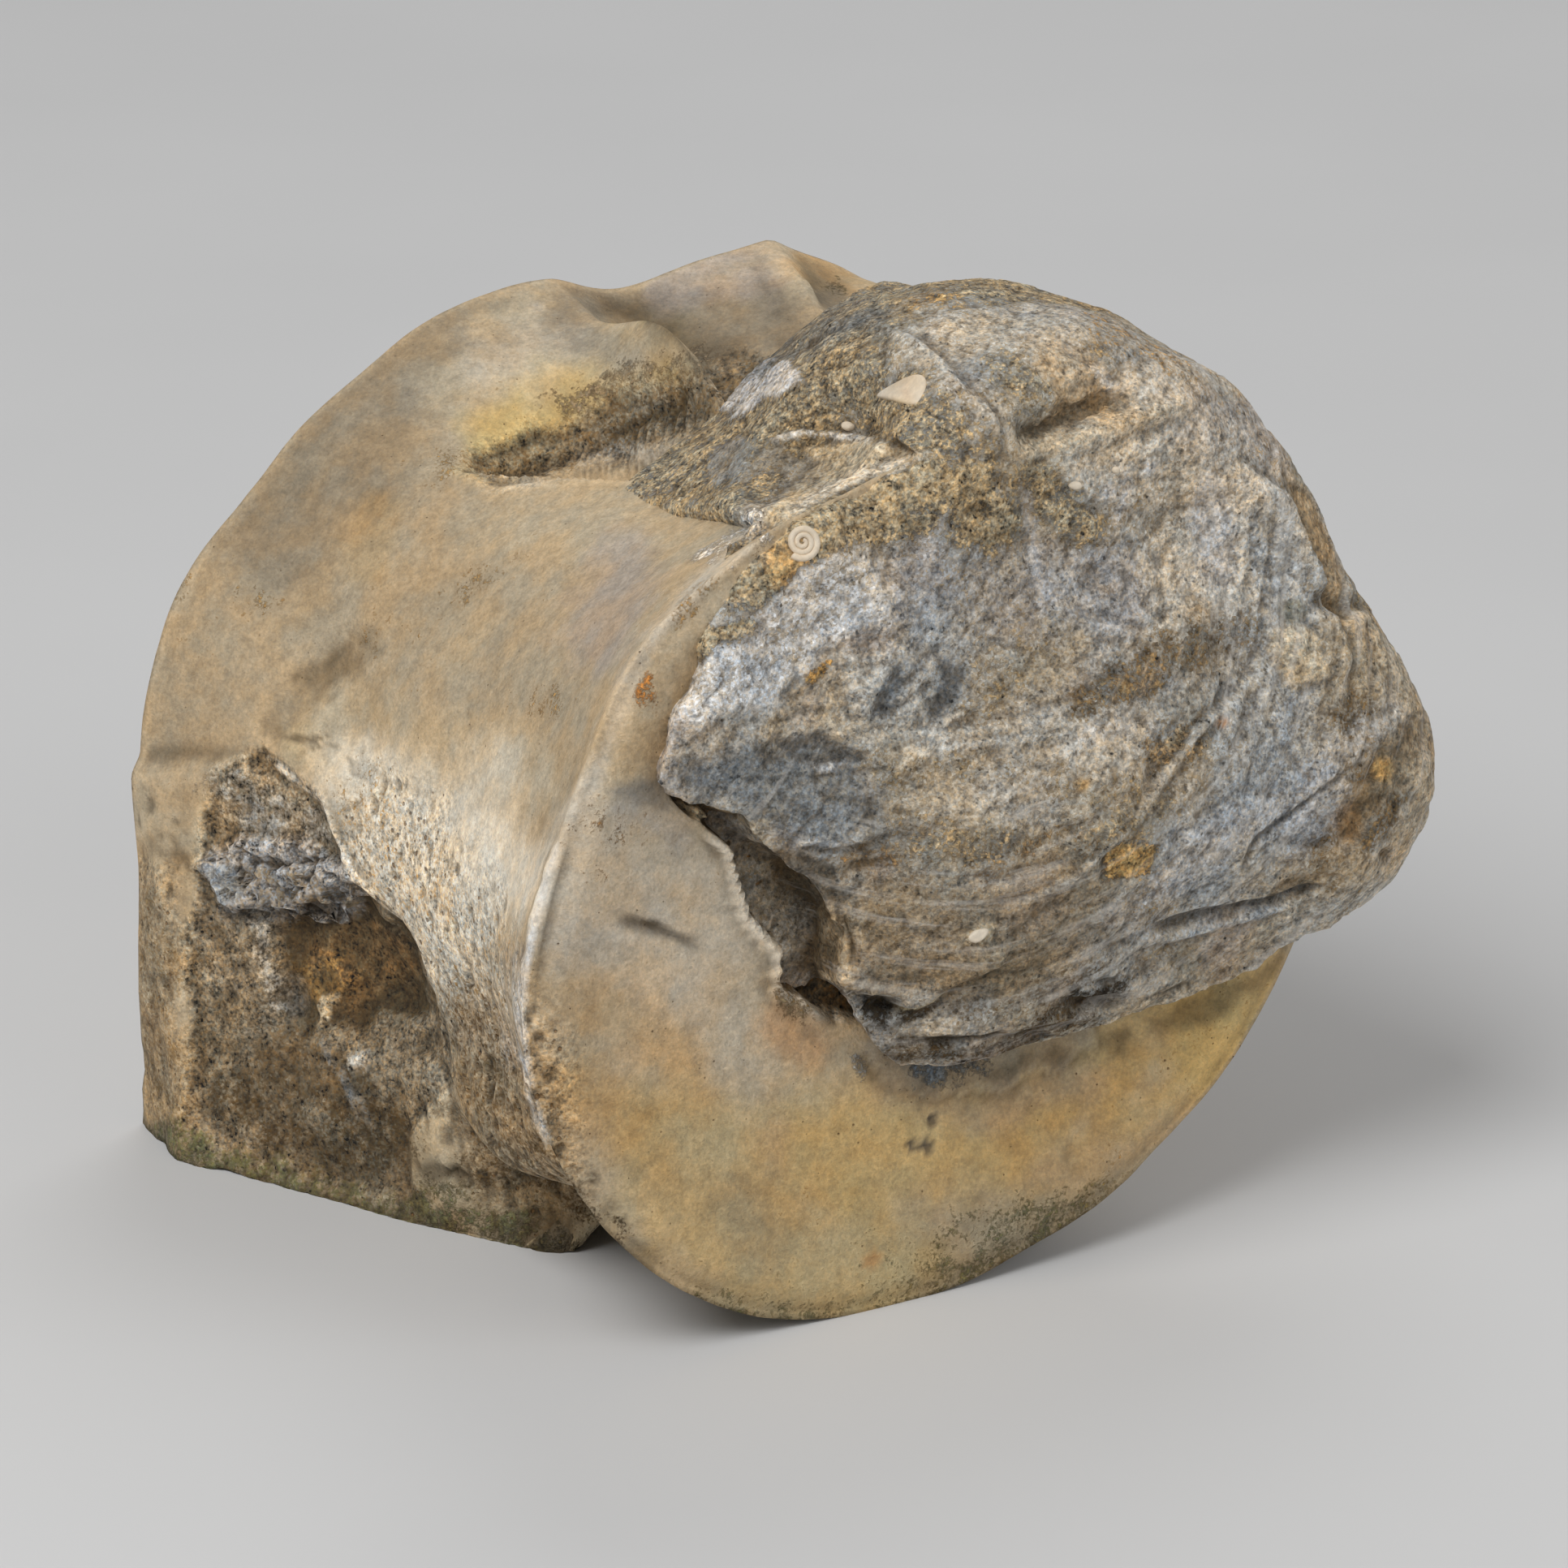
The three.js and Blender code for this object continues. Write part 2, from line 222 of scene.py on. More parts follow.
@dataclass(frozen=True)
class Lie:
    """How the fossil lies: its axis is nearly level and turned towards the viewer's right."""

    yaw_deg: float = 30.0
    pitch_deg: float = 3.7
    centre_mm: tuple[float, float, float] = (-3.265, -0.458, 32.430)

    def axes(self) -> np.ndarray:
        """Finds the bone's own directions.

        Returns:
            The across, up and forward directions as rows.
        """
        yaw, pitch = math.radians(self.yaw_deg), math.radians(self.pitch_deg)
        across = (math.cos(yaw), math.sin(yaw), 0.0)
        forward = (math.sin(yaw) * math.cos(pitch), -math.cos(yaw) * math.cos(pitch), math.sin(pitch))
        return np.array([across, np.cross(forward, across), forward])

    def to_frame(self, local: np.ndarray) -> np.ndarray:
        """Turns bone millimetres into frame millimetres."""
        return local @ self.axes() + np.array(self.centre_mm)

    def to_bone(self, placed: np.ndarray) -> np.ndarray:
        """Turns frame millimetres into bone millimetres."""
        return (placed - np.array(self.centre_mm)) @ self.axes().T


@dataclass(frozen=True)
class Viewpoint:
    """The camera: level with the front, looking down a little, in a square picture."""

    target_mm: tuple[float, float, float] = (0.705, -1.918, 31.0)
    elevation_deg: float = 20.0
    distance_mm: float = 500.0
    picture_points: float = 1932.0
    focal_points: float = 8000.0
    sensor_mm: float = 36.0

    def axes(self) -> np.ndarray:
        """Finds the view's own directions.

        Returns:
            The right, up and forward directions of the view as rows.
        """
        tilt = math.radians(self.elevation_deg)
        return np.array([
            (1.0, 0.0, 0.0),
            (0.0, math.sin(tilt), math.cos(tilt)),
            (0.0, math.cos(tilt), -math.sin(tilt)),
        ])

    def eye(self) -> np.ndarray:
        """Where the camera stands, in frame millimetres."""
        return np.array(self.target_mm) - self.distance_mm * self.axes()[2]

    def ray(self, x: float, y: float) -> np.ndarray:
        """Points from the camera to a place in the picture.

        Args:
            x: Picture points from the left.
            y: Picture points from the top.

        Returns:
            The direction in the frame, of length 1.
        """
        right, up, forward = self.axes()
        middle = self.picture_points / 2.0
        way = self.focal_points * forward + (x - middle) * right - (y - middle) * up
        return way / np.linalg.norm(way)

    def points(self, placed: np.ndarray) -> np.ndarray:
        """Finds where frame millimetres fall in the picture.

        Args:
            placed: Points, n by 3.

        Returns:
            Picture points, n by 2.
        """
        seen = (placed - self.eye()) @ self.axes().T
        middle = self.picture_points / 2.0
        x = middle + self.focal_points * seen[:, 0] / seen[:, 2]
        y = middle - self.focal_points * seen[:, 1] / seen[:, 2]
        return np.stack([x, y], axis=1)

    def facing(self, placed: np.ndarray, normals: np.ndarray) -> np.ndarray:
        """How squarely each point faces the camera.

        Args:
            placed: Points in frame millimetres, n by 3.
            normals: Directions there, n by 3.

        Returns:
            For each, 1 head on, 0 edge on and less when it faces away.
        """
        look = self.eye() - placed
        look /= np.linalg.norm(look, axis=1, keepdims=True)
        return np.sum(look * normals, axis=1)

    def build(self) -> bpy.types.Object:
        """Makes the camera and gives it to the scene.

        Returns:
            The camera.
        """
        data = bpy.data.cameras.new("camera")
        data.sensor_width = self.sensor_mm
        data.lens = self.sensor_mm * self.focal_points / self.picture_points
        data.clip_end = 10.0
        camera = bpy.data.objects.new("camera", data)
        right, up, forward = (Vector(v) for v in self.axes())
        turn = Matrix((right, up, -forward)).transposed().to_4x4()
        camera.matrix_world = Matrix.Translation(Vector(self.eye() * MM)) @ turn
        bpy.context.collection.objects.link(camera)
        bpy.context.scene.camera = camera
        return camera


LIE = Lie()
VIEW = Viewpoint()


# ---- The bone's form -----------------------------------------------------------------------

@dataclass(frozen=True)
class Patch:
    """A soft hollow or swelling on the flank."""

    depth: float
    q: float
    deg: float
    along_mm: float
    around_deg: float
    turn_deg: float = 0.0
    power: float = 2.0

    def height(self, q: np.ndarray, deg: np.ndarray) -> np.ndarray:
        """How much the patch raises the flank.

        Args:
            q: Place along the axis.
            deg: Angle round the axis.

        Returns:
            Height in millimetres, negative in a hollow.
        """
        dq = q - self.q
        dp = (np.mod(deg - self.deg + 180.0, 360.0) - 180.0) * MM_PER_DEG
        turn = math.radians(self.turn_deg)
        u = (math.cos(turn) * dq + math.sin(turn) * dp) / self.along_mm
        v = (math.cos(turn) * dp - math.sin(turn) * dq) / (self.around_deg * MM_PER_DEG)
        return self.depth * np.exp(-(u * u + np.abs(v) ** self.power))


@dataclass(frozen=True)
class LippedHollow:
    """A deep hollow that drops off sharply behind a slanting lip."""

    depth: float = 9.5
    lip_deg: float = 108.0
    slant: float = 0.6
    drop_mm: float = 2.2
    floor_mm: float = 2.5
    rise_mm: float = 8.5
    half_length_mm: float = 15.0
    middle_mm: float = 0.0

    def height(self, q: np.ndarray, deg: np.ndarray) -> np.ndarray:
        """How much the hollow lowers the flank.

        Args:
            q: Place along the axis.
            deg: Angle round the axis.

        Returns:
            Height in millimetres, negative in the hollow.
        """
        p = (np.mod(deg - self.lip_deg + 180.0, 360.0) - 180.0) * MM_PER_DEG
        scale = math.hypot(1.0, self.slant)
        behind = -(p + self.slant * q) / scale
        along = (q - self.slant * p) / scale - self.middle_mm
        drop = 1.0 - np.exp(-np.maximum(behind, 0.0) / self.drop_mm)
        rise = np.exp(-(np.maximum(behind - self.floor_mm, 0.0) / self.rise_mm) ** 2)
        return -self.depth * drop * rise * np.exp(-(along / self.half_length_mm) ** 4)


@dataclass(frozen=True)
class BoneForm:
    """The bone's shape without its fine relief, the same as on the solid model."""

    length: float = 61.0
    front_rim: tuple[float, ...] = (
        37.0, 38.8, 39.3, 34.8, 29.6, 29.9, 31.0, 31.6, 35.4, 36.8, 36.8, 35.2, 33.8, 33.8, 35.0)
    rear_rim: tuple[float, ...] = (
        36.0, 38.4, 39.0, 35.0, 33.0, 32.2, 33.0, 36.2, 37.4, 37.0, 34.6, 32.0, 33.0, 36.0, 36.4)
    waist: float = 0.80
    front_flare: float = 2.4
    rear_flare: float = 1.8
    front_dish: float = 2.4
    rear_dish: float = 3.4
    rim_round: float = 0.9
    boss_from_deg: tuple[float, float] = (150.0, 182.0)
    boss_to_deg: tuple[float, float] = (238.0, 258.0)
    boss_blend: float = 2.4
    upright_deg: float = 87.0
    far_boss_wear: float = 1.2
    boss_least_facing: float = 0.02
    boss_core: float = 15.0
    boss_limit: float = 60.0
    boss_foot_blend: float = 2.5
    swell: float = 0.35
    swell_wave: float = 17.0
    boss_sides: tuple[tuple[tuple[float, ...], tuple[float, ...]], ...] = (
        ((-0.839, 0.164, 0.518), (-30.9, 1.6, -18.3)),
        ((0.42, 0.10, 0.90), (-24.2, -22.0, 0.5)),
        ((-0.985, 0.05, -0.10), (-38.2, -20.0, -26.0)),
        ((-0.50, 0.86, 0.05), (-32.0, 1.0, -20.0)),
        ((-0.16, -0.98, -0.05), (-37.0, -32.2, -25.0)),
        ((0.80, -0.50, 0.33), (-24.0, -30.0, -3.0)),
    )
    hollow: LippedHollow = LippedHollow()
    patches: tuple[Patch, ...] = (
        Patch(8.2, -9, 87, 12, 5, 0, 1.3),
        Patch(-5.5, -15, 77, 15, 11),
        Patch(2.0, -20, 57, 14, 4, 0, 1.3),
        Patch(6.0, -18, 43, 13, 8),
        Patch(0.8, -27, 57, 7, 9),
        Patch(-1.2, -13, 163, 12, 8, 35),
        Patch(-4.2, 14, 236, 7, 5),
        Patch(3.2, 11, 245, 14, 9),
        Patch(6.0, 9, 222, 12, 11),
    )

    def boss_reach(self, q: np.ndarray, deg: np.ndarray) -> np.ndarray:
        """How far out the rib boss stands from the axis.

        Args:
            q: Place along the axis.
            deg: Angle round the axis.

        Returns:
            Radius of the boss, well inside the bone away from it.
        """
        angle = np.radians(deg)
        reach = np.full(np.broadcast(q, deg).shape, self.boss_limit)
        for normal, point in self.boss_sides:
            n = np.array(normal) / np.linalg.norm(normal)
            facing = n[0] * np.cos(angle) + n[1] * np.sin(angle)
            out = (n @ np.array(point) - n[2] * q) / np.maximum(facing, self.boss_least_facing)
            near = soft_min(reach, out, self.boss_blend)
            reach = np.where(facing > self.boss_least_facing, near, reach)
        turned = np.mod(deg, 360.0)
        share = ramp(*self.boss_from_deg, turned) * (1.0 - ramp(*self.boss_to_deg, turned))
        return self.boss_core + (reach - self.boss_core) * share

    def flank_radius(self, q: np.ndarray, deg: np.ndarray) -> np.ndarray:
        """How far the flank stands from the axis.

        Args:
            q: Place along the axis.
            deg: Angle round the axis.

        Returns:
            Radius in millimetres.
        """
        along = q / (self.length / 2.0)
        share = (along + 1.0) / 2.0
        rim = read_ring(self.rear_rim, deg) * (1.0 - share) + read_ring(self.front_rim, deg) * share
        flare = np.abs(along) ** np.where(along > 0, self.front_flare, self.rear_flare)
        radius = rim * (self.waist + (1.0 - self.waist) * flare)
        radius = soft_max(radius, self.boss_reach(q, deg), self.boss_foot_blend)
        far = self.boss_reach(q, 2.0 * self.upright_deg - deg) - self.far_boss_wear
        radius = soft_max(radius, far, self.boss_foot_blend)
        radius = radius + self.hollow.height(q, deg)
        for patch in self.patches:
            radius = radius + patch.height(q, deg)
        return radius

    def face_height(self, share: np.ndarray, end: np.ndarray) -> np.ndarray:
        """Where an end face stands along the axis.

        Args:
            share: Share of the way out to its rim.
            end: 1 for the front face and -1 for the rear one.

        Returns:
            Place along the axis.
        """
        dish = np.where(end > 0, self.front_dish, self.rear_dish)
        edge = self.rim_round * ramp(0.9, 1.0, share) ** 1.4
        return end * (self.length / 2.0 - dish * (1.0 - share * share) - edge)

    def shape(self, drum: np.ndarray) -> np.ndarray:
        """Moves the points of a plain drum to the bone's surface.

        Args:
            drum: Points of a drum of radius 1 and the bone's length, along z.

        Returns:
            The points on the bone, in bone millimetres.
        """
        half = self.length / 2.0
        angle = np.arctan2(drum[:, 1], drum[:, 0])
        deg = np.degrees(angle)
        share = np.hypot(drum[:, 0], drum[:, 1])
        station = drum[:, 2]
        end = np.sign(station)
        flank = np.abs(station) < half - 1e-4
        rim_q = end * (half - self.rim_round)
        full = self.flank_radius(np.where(flank, station, rim_q), deg)
        plain = np.where(end > 0, read_ring(self.front_rim, deg), read_ring(self.rear_rim, deg))
        radius = np.where(flank, full, share * (plain + (full - plain) * share**3))
        q = np.where(flank, station, self.face_height(share, end))
        at = np.stack([radius * np.cos(angle), radius * np.sin(angle), q], axis=1)
        swell = self.swell * lumpy(at, self.swell_wave) * np.where(flank, 1.0, share)
        reach = np.maximum(radius + swell, 0.0)
        return np.stack([reach * np.cos(angle), reach * np.sin(angle), q], axis=1)


# ---- The rock's form -----------------------------------------------------------------------

@dataclass(frozen=True)
class Swelling:
    """A swelling of the rock crust, in bone millimetres."""

    middle: tuple[float, float, float]
    spread: tuple[float, float, float]
    height: float


@dataclass(frozen=True)
class RockForm:
    """The rock's shape without its fine relief, the same as on the solid model."""

    bone: BoneForm = BoneForm()
    heart: tuple[float, float, float] = (10.0, 8.0, 14.0)
    cover: float = 2.2
    reach: float = 70.0
    swellings: tuple[Swelling, ...] = (
        Swelling((13, 2, 30), (19, 12, 14), 8.5),
        Swelling((2, -8, 30), (9, 8, 9), 2.5),
        Swelling((40, 0, 26), (11, 9, 11), 8.5),
        Swelling((39, -9, 27), (8, 6, 9), 1.8),
        Swelling((12, 34, 16), (16, 12, 14), 4.2),
        Swelling((-16, 27, 6), (11, 9, 14), -11),
        Swelling((-2, 33, -7), (10, 9, 11), -11),
        Swelling((9, 34, -9), (8, 8, 8), -2.5),
        Swelling((-6, 31, 22), (5, 4, 5), -12),
    )
    edge: Points = (
        (-20, 60), (-12, 44), (-3.5, 32), (0.1, 29.9), (-9.7, 27), (-14.5, 24.8), (-17.9, 21.2),
        (-20.1, 17.3), (-22.2, 13.5), (-24.3, 10.3), (-21.8, 8.3), (-17.2, 6), (-11.7, 0), (-9.8, -2.8),
        (-9, -9.2), (-7, -13.3), (-2.3, -17.5), (2.6, -18.1), (9, -17.2), (17, -15.9),
        (24.3, -14.1), (32.5, -11.2), (39, -10.8), (60, -9))
    bare_corners: Points = ((60, -60), (-60, -60), (-60, 60))
    edge_from: float = 27.0
    edge_to: float = 60.0
    back_normal: tuple[float, float, float] = (-0.43, 0.36, -0.83)
    back_point: tuple[float, float, float] = (0.0, 29.0, -3.0)
    left_normal: tuple[float, float, float] = (-0.87, -0.50, 0.02)
    left_point: tuple[float, float, float] = (-11.0, 26.0, 10.0)
    left_free_from: float = 26.5
    left_free_slope: float = 8.0
    rounding: float = 3.0
    inside_rim: float = 0.985
    behind_front: float = 1.5
    uneven: float = 0.5
    wave: float = 15.0
    march: float = 1.5

    def field(self, at: np.ndarray) -> np.ndarray:
        """Tells the rock's inside from its outside.

        Args:
            at: Points in bone millimetres, n by 3.

        Returns:
            Roughly the distance in millimetres to the rock's surface, negative inside.
        """
        x, y, z = at.T
        deg = np.degrees(np.arctan2(y, x))
        side = np.hypot(x, y) - self.inside_rim * read_ring(self.bone.front_rim, deg) + self.rounding
        front = z - (self.bone.length / 2.0 - self.behind_front) + self.rounding
        corner = np.hypot(np.maximum(side, 0.0), np.maximum(front, 0.0))
        drum = np.where((side < 0) & (front < 0), np.maximum(side, front), corner) - self.rounding
        cover = np.full(len(at), self.cover)
        for s in self.swellings:
            away = np.sum(((at - np.array(s.middle)) / np.array(s.spread)) ** 2, axis=1)
            cover += s.height * np.exp(-away)
        result = drum - cover - self.uneven * lumpy(at, self.wave)
        for normal, point, blend in (
            (self.back_normal, self.back_point, 2.0),
            (self.left_normal, self.left_point, 1.5),
        ):
            n = np.array(normal) / np.linalg.norm(normal)
            plane = (at - np.array(point)) @ n
            if point is self.left_point:
                plane = plane - self.left_free_slope * np.maximum(z - self.left_free_from, 0.0)
            result = soft_max(result, plane, blend)
        return soft_max(result, 8.0 - z - 0.9 * (y - 10.0), 3.0)

    def shape(self, ball: np.ndarray) -> np.ndarray:
        """Moves the points of a ball out to the rock's surface.

        Args:
            ball: Points of a ball of radius 1.

        Returns:
            The points on the rock, in bone millimetres.
        """
        ray = ball / np.linalg.norm(ball, axis=1, keepdims=True)
        heart = np.array(self.heart)
        inner = np.full(len(ray), 1.0)
        for reach in np.arange(2.0, self.reach, self.march):
            inside = self.field(heart + ray * reach) < 0
            inner = np.where(inside, reach, inner)
        outer = inner + self.march
        for _ in range(10):
            middle = (inner + outer) / 2.0
            inside = self.field(heart + ray * middle[:, None]) < 0
            inner = np.where(inside, middle, inner)
            outer = np.where(inside, outer, middle)
        return heart + ray * inner[:, None]


# ---- Colours and marks ---------------------------------------------------------------------

class Tint(Enum):
    """Colours of the bone and the rock, as display values from 0 to 1."""

    CREAM = (0.78, 0.70, 0.57)
    PALE = (0.88, 0.82, 0.73)
    # Near white: pale bone brightened as painted highlight where it faces the light.
    HIGHLIGHT_CREAM = (0.97, 0.91, 0.81)
    CHALK = (0.90, 0.88, 0.85)
    BUFF = (0.72, 0.64, 0.52)
    TAN = (0.70, 0.60, 0.46)
    STRAW = (0.80, 0.69, 0.45)
    OCHRE = (0.76, 0.60, 0.36)
    ORANGE = (0.76, 0.52, 0.27)
    RUST = (0.50, 0.36, 0.19)
    BROWN = (0.48, 0.40, 0.28)
    DRAB = (0.54, 0.48, 0.39)
    UMBER = (0.30, 0.24, 0.15)
    MOSS = (0.40, 0.39, 0.26)
    SAND = (0.66, 0.59, 0.47)
    GREY = (0.68, 0.65, 0.60)
    ASH = (0.52, 0.50, 0.46)
    MIST = (0.79, 0.77, 0.75)
    BLUE = (0.65, 0.66, 0.66)
    LILAC = (0.68, 0.62, 0.58)
    SLATE = (0.40, 0.42, 0.43)
    # Near black: painted shade deep in gaps, cracks, pits and under layer edges.
    SHADE_BLACK = (0.10, 0.085, 0.06)

    def light(self) -> np.ndarray:
        """The colour as light values, which is what meshes and shaders hold."""
        shown = np.array(self.value)
        return np.where(shown <= 0.04045, shown / 12.92, ((shown + 0.055) / 1.055) ** 2.4)


class Reach(Enum):
    """How a mark spreads from its points."""

    LINE = "along the line through them"
    AREA = "over all that they enclose"
    STEP = "on the left of the line through them, fading away from it"


class Lay(Enum):
    """What a mark's colour does to the surface."""

    SOAK = "soaks in evenly"
    COAT = "sits on top in ragged patches"


@dataclass(frozen=True)
class Mark:
    """A stain, coat, pit, ledge or ridge, laid on what faces the viewer.

    Its points, width and softness are in picture points, its height in millimetres.
    """

    points: Points
    width: float = 0.0
    tint: Tint | None = None
    strength: float = 0.8
    height: float = 0.0
    soft: float = 12.0
    ragged: float = 12.0
    reach: Reach = Reach.LINE
    lay: Lay = Lay.SOAK
    thin: float = 30.0
    taper: float = 36.0

    def measure(self, seen: np.ndarray) -> tuple[np.ndarray, np.ndarray, np.ndarray]:
        """Finds how places in the picture stand to the mark's line or border.

        Args:
            seen: Picture points, n by 2.

        Returns:
            The distance in picture points, negative inside an area; 1 on the left of the line
            and -1 on its right; and the way along the line to its nearer end.
        """
        corners = np.array(self.points, float)
        nearest = np.linalg.norm(seen - corners[0], axis=1)
        side, to_end = np.ones(len(seen)), np.full(len(seen), self.taper)
        closed = self.reach is Reach.AREA
        ends = np.roll(corners, -1, axis=0) if closed else corners[1:]
        inside = np.zeros(len(seen), bool)
        lengths = np.linalg.norm(np.diff(corners, axis=0), axis=1)
        whole, before = lengths.sum(), 0.0
        for a, b in zip(corners, ends):
            run = b - a
            long = max(np.linalg.norm(run), 1e-9)
            share = np.clip((seen - a) @ run / long**2, 0.0, 1.0)
            away = np.linalg.norm(seen - a - share[:, None] * run, axis=1)
            nearer = away <= nearest
            turn = (seen[:, 0] - a[0]) * run[1] - (seen[:, 1] - a[1]) * run[0]
            side = np.where(nearer, np.sign(turn), side)
            along = before + share * long
            to_end = np.where(nearer, np.minimum(along, whole - along), to_end)
            nearest = np.minimum(nearest, away)
            before += long
            if closed and a[1] != b[1]:
                crosses = (a[1] > seen[:, 1]) != (b[1] > seen[:, 1])
                inside ^= crosses & (seen[:, 0] < a[0] + run[0] * (seen[:, 1] - a[1]) / run[1])
        return np.where(inside, -nearest, nearest), side, to_end

    def amount(self, skin: "Skin") -> np.ndarray:
        """How strongly the mark shows.

        Args:
            skin: The skin it lies on.

        Returns:
            A share of 0 to 1 for each point of the skin.
        """
        away, side, to_end = self.measure(skin.seen)
        jitter = self.ragged * skin.uneven
        if self.reach is Reach.STEP:
            left = away * side + jitter
            share = ramp(-self.soft, self.soft, left) * np.clip(1.0 - left / self.width, 0.0, 1.0) ** 1.5
        else:
            share = ramp(self.soft, -self.soft * 0.5, away - self.width / 2.0 + jitter)
        slender = self.reach is Reach.STEP or (self.reach is Reach.LINE and self.width < self.thin)
        if slender and len(self.points) > 1:
            share = share * ramp(0.0, self.taper, to_end)
        return share * ramp(0.0, 0.2, skin.facing)


# Small pits and wide hollows, darkened with dirt and painted shade: passes that even the surface out, depth
# that counts as full, and share.
HOLLOW_KINDS = ((3, 0.06, 1.0), (30, 0.5, 0.25))


class Skin:
    """A mesh held as arrays in frame millimetres while it is carved and painted."""

    def __init__(self, mesh: bpy.types.Mesh, ground: Tint) -> None:
        """Reads the mesh.

        Args:
            mesh: The mesh to work on, in metres.
            ground: Colour it starts with.
        """
        self.mesh = mesh
        count = len(mesh.vertices)
        self.colour = np.tile(ground.light(), (count, 1))
        self.coat_colour = np.tile(ground.light(), (count, 1))
        self.coat_share = np.zeros(count)
        self.finish = np.zeros((count, 3))
        self.flow = np.zeros((count, 3))
        self.read()
        self.uneven = Noise(3).rough(self.at, 3.0, 3)

    def read(self) -> None:
        """Takes points and normals from the mesh, and finds where they are seen."""
        count = len(self.mesh.vertices)
        at, normal = np.empty(count * 3), np.empty(count * 3)
        self.mesh.vertices.foreach_get("co", at)
        self.mesh.vertex_normals.foreach_get("vector", normal)
        self.at = at.reshape(-1, 3) / MM
        self.normal = normal.reshape(-1, 3)
        self.local = LIE.to_bone(self.at)
        self.seen = VIEW.points(self.at)
        self.facing = VIEW.facing(self.at, self.normal)

    def move(self, by: np.ndarray) -> None:
        """Shifts the points, never below the ground.

        Args:
            by: Shift of each point in frame millimetres, n by 3.
        """
        self.at = self.at + by
        self.at[:, 2] = np.maximum(self.at[:, 2], 0.0)
        self.mesh.vertices.foreach_set("co", (self.at * MM).ravel())
        self.mesh.update()
        self.read()

    def carve(self, height: np.ndarray) -> None:
        """Raises or lowers the surface along its normals, in millimetres."""
        self.move(self.normal * height[:, None])

    def soak(self, tint: Tint, amount: np.ndarray) -> None:
        """Stains the ground with a colour and thins the coat.

        Args:
            tint: The colour.
            amount: Share of it at each point.
        """
        share = np.clip(amount, 0.0, 1.0)[:, None]
        self.colour = self.colour * (1.0 - share) + tint.light() * share
        self.coat_share = self.coat_share * (1.0 - share[:, 0])

    def coat(self, tint: Tint, amount: np.ndarray) -> None:
        """Lays patches of a colour over the ground.

        Args:
            tint: The colour.
            amount: Share of the ground that they cover at each point.
        """
        amount = np.clip(amount, 0.0, 1.0)
        lead = (amount / np.maximum(amount + self.coat_share * (1.0 - amount), 1e-6))[:, None]
        self.coat_colour = self.coat_colour * (1.0 - lead) + tint.light() * lead
        self.coat_share = np.maximum(self.coat_share, amount)

    def mark(self, marks: tuple[Mark, ...]) -> None:
        """Paints the marks in turn, and carves them all at once.

        Args:
            marks: The marks, the first one lowest.
        """
        height = np.zeros(len(self.at))
        for mark in marks:
            amount = mark.amount(self)
            height += mark.height * amount
            if mark.tint is not None:
                lay = self.soak if mark.lay is Lay.SOAK else self.coat
                lay(mark.tint, mark.strength * amount)
        if np.any(height):
            self.carve(height)

    def hollows(self, passes: int) -> np.ndarray:
        """How far each point lies below the even run of the surface round it, in millimetres.

        Args:
            passes: How often the surface is evened out to find that run: more for wider hollows.

        Returns:
            The depth of each point, below zero where it stands proud.
        """
        count = len(self.at)
        ends = np.empty(len(self.mesh.edges) * 2, int)
        self.mesh.edges.foreach_get("vertices", ends)
        a, b = ends.reshape(-1, 2).T
        neighbours = np.bincount(a, minlength=count) + np.bincount(b, minlength=count)
        even = self.at
        for _ in range(passes):
            sums = [np.bincount(a, even[b, k], count) + np.bincount(b, even[a, k], count) for k in range(3)]
            even = np.stack(sums, axis=1) / neighbours[:, None]
        return np.einsum("ij,ij->i", even - self.at, self.normal)

    def shade_and_dirt_in_hollows(self, dirt_and_shade: Tint, dark: float, light: float) -> None:
        """Darkens hollows, small and wide, with dirt and painted shade, and makes what stands proud paler.

        Args:
            dirt_and_shade: Colour of the dirt and painted shade in the hollows.
            dark: Share of it in the deepest hollows.
            light: How much paler the proudest points become.
        """
        for passes, deep_mm, part in HOLLOW_KINDS:
            # Hollows take the dark colour as dirt and painted shade; proud points grow paler.
            depth = np.clip(self.hollows(passes) / deep_mm, -1.0, 1.0)[:, None] * part
            fill, worn = dark * np.maximum(depth, 0.0), 1.0 + light * np.maximum(-depth, 0.0)
            self.colour = self.colour * worn * (1.0 - fill) + dirt_and_shade.light() * fill
            self.coat_colour = self.coat_colour * worn * (1.0 - fill) + dirt_and_shade.light() * fill

    def store(self) -> None:
        """Writes colours, coat, finish shares and flow to the mesh for its material."""
        opaque = np.ones((len(self.at), 1))
        layers = {
            "tint": np.hstack([self.colour, opaque]),
            "coat": np.hstack([self.coat_colour, self.coat_share[:, None]]),
            "finish": np.hstack([self.finish, opaque]),
        }
        for name, values in layers.items():
            layer = self.mesh.color_attributes.new(name, "FLOAT_COLOR", "POINT")
            layer.data.foreach_set("color", np.clip(values, 0, 1).ravel())
        flow = self.mesh.attributes.new("flow", "FLOAT_VECTOR", "POINT")
        flow.data.foreach_set("vector", self.flow.ravel())
        self.mesh.shade_smooth()
        self.mesh.update()


# ---- Finishes ------------------------------------------------------------------------------

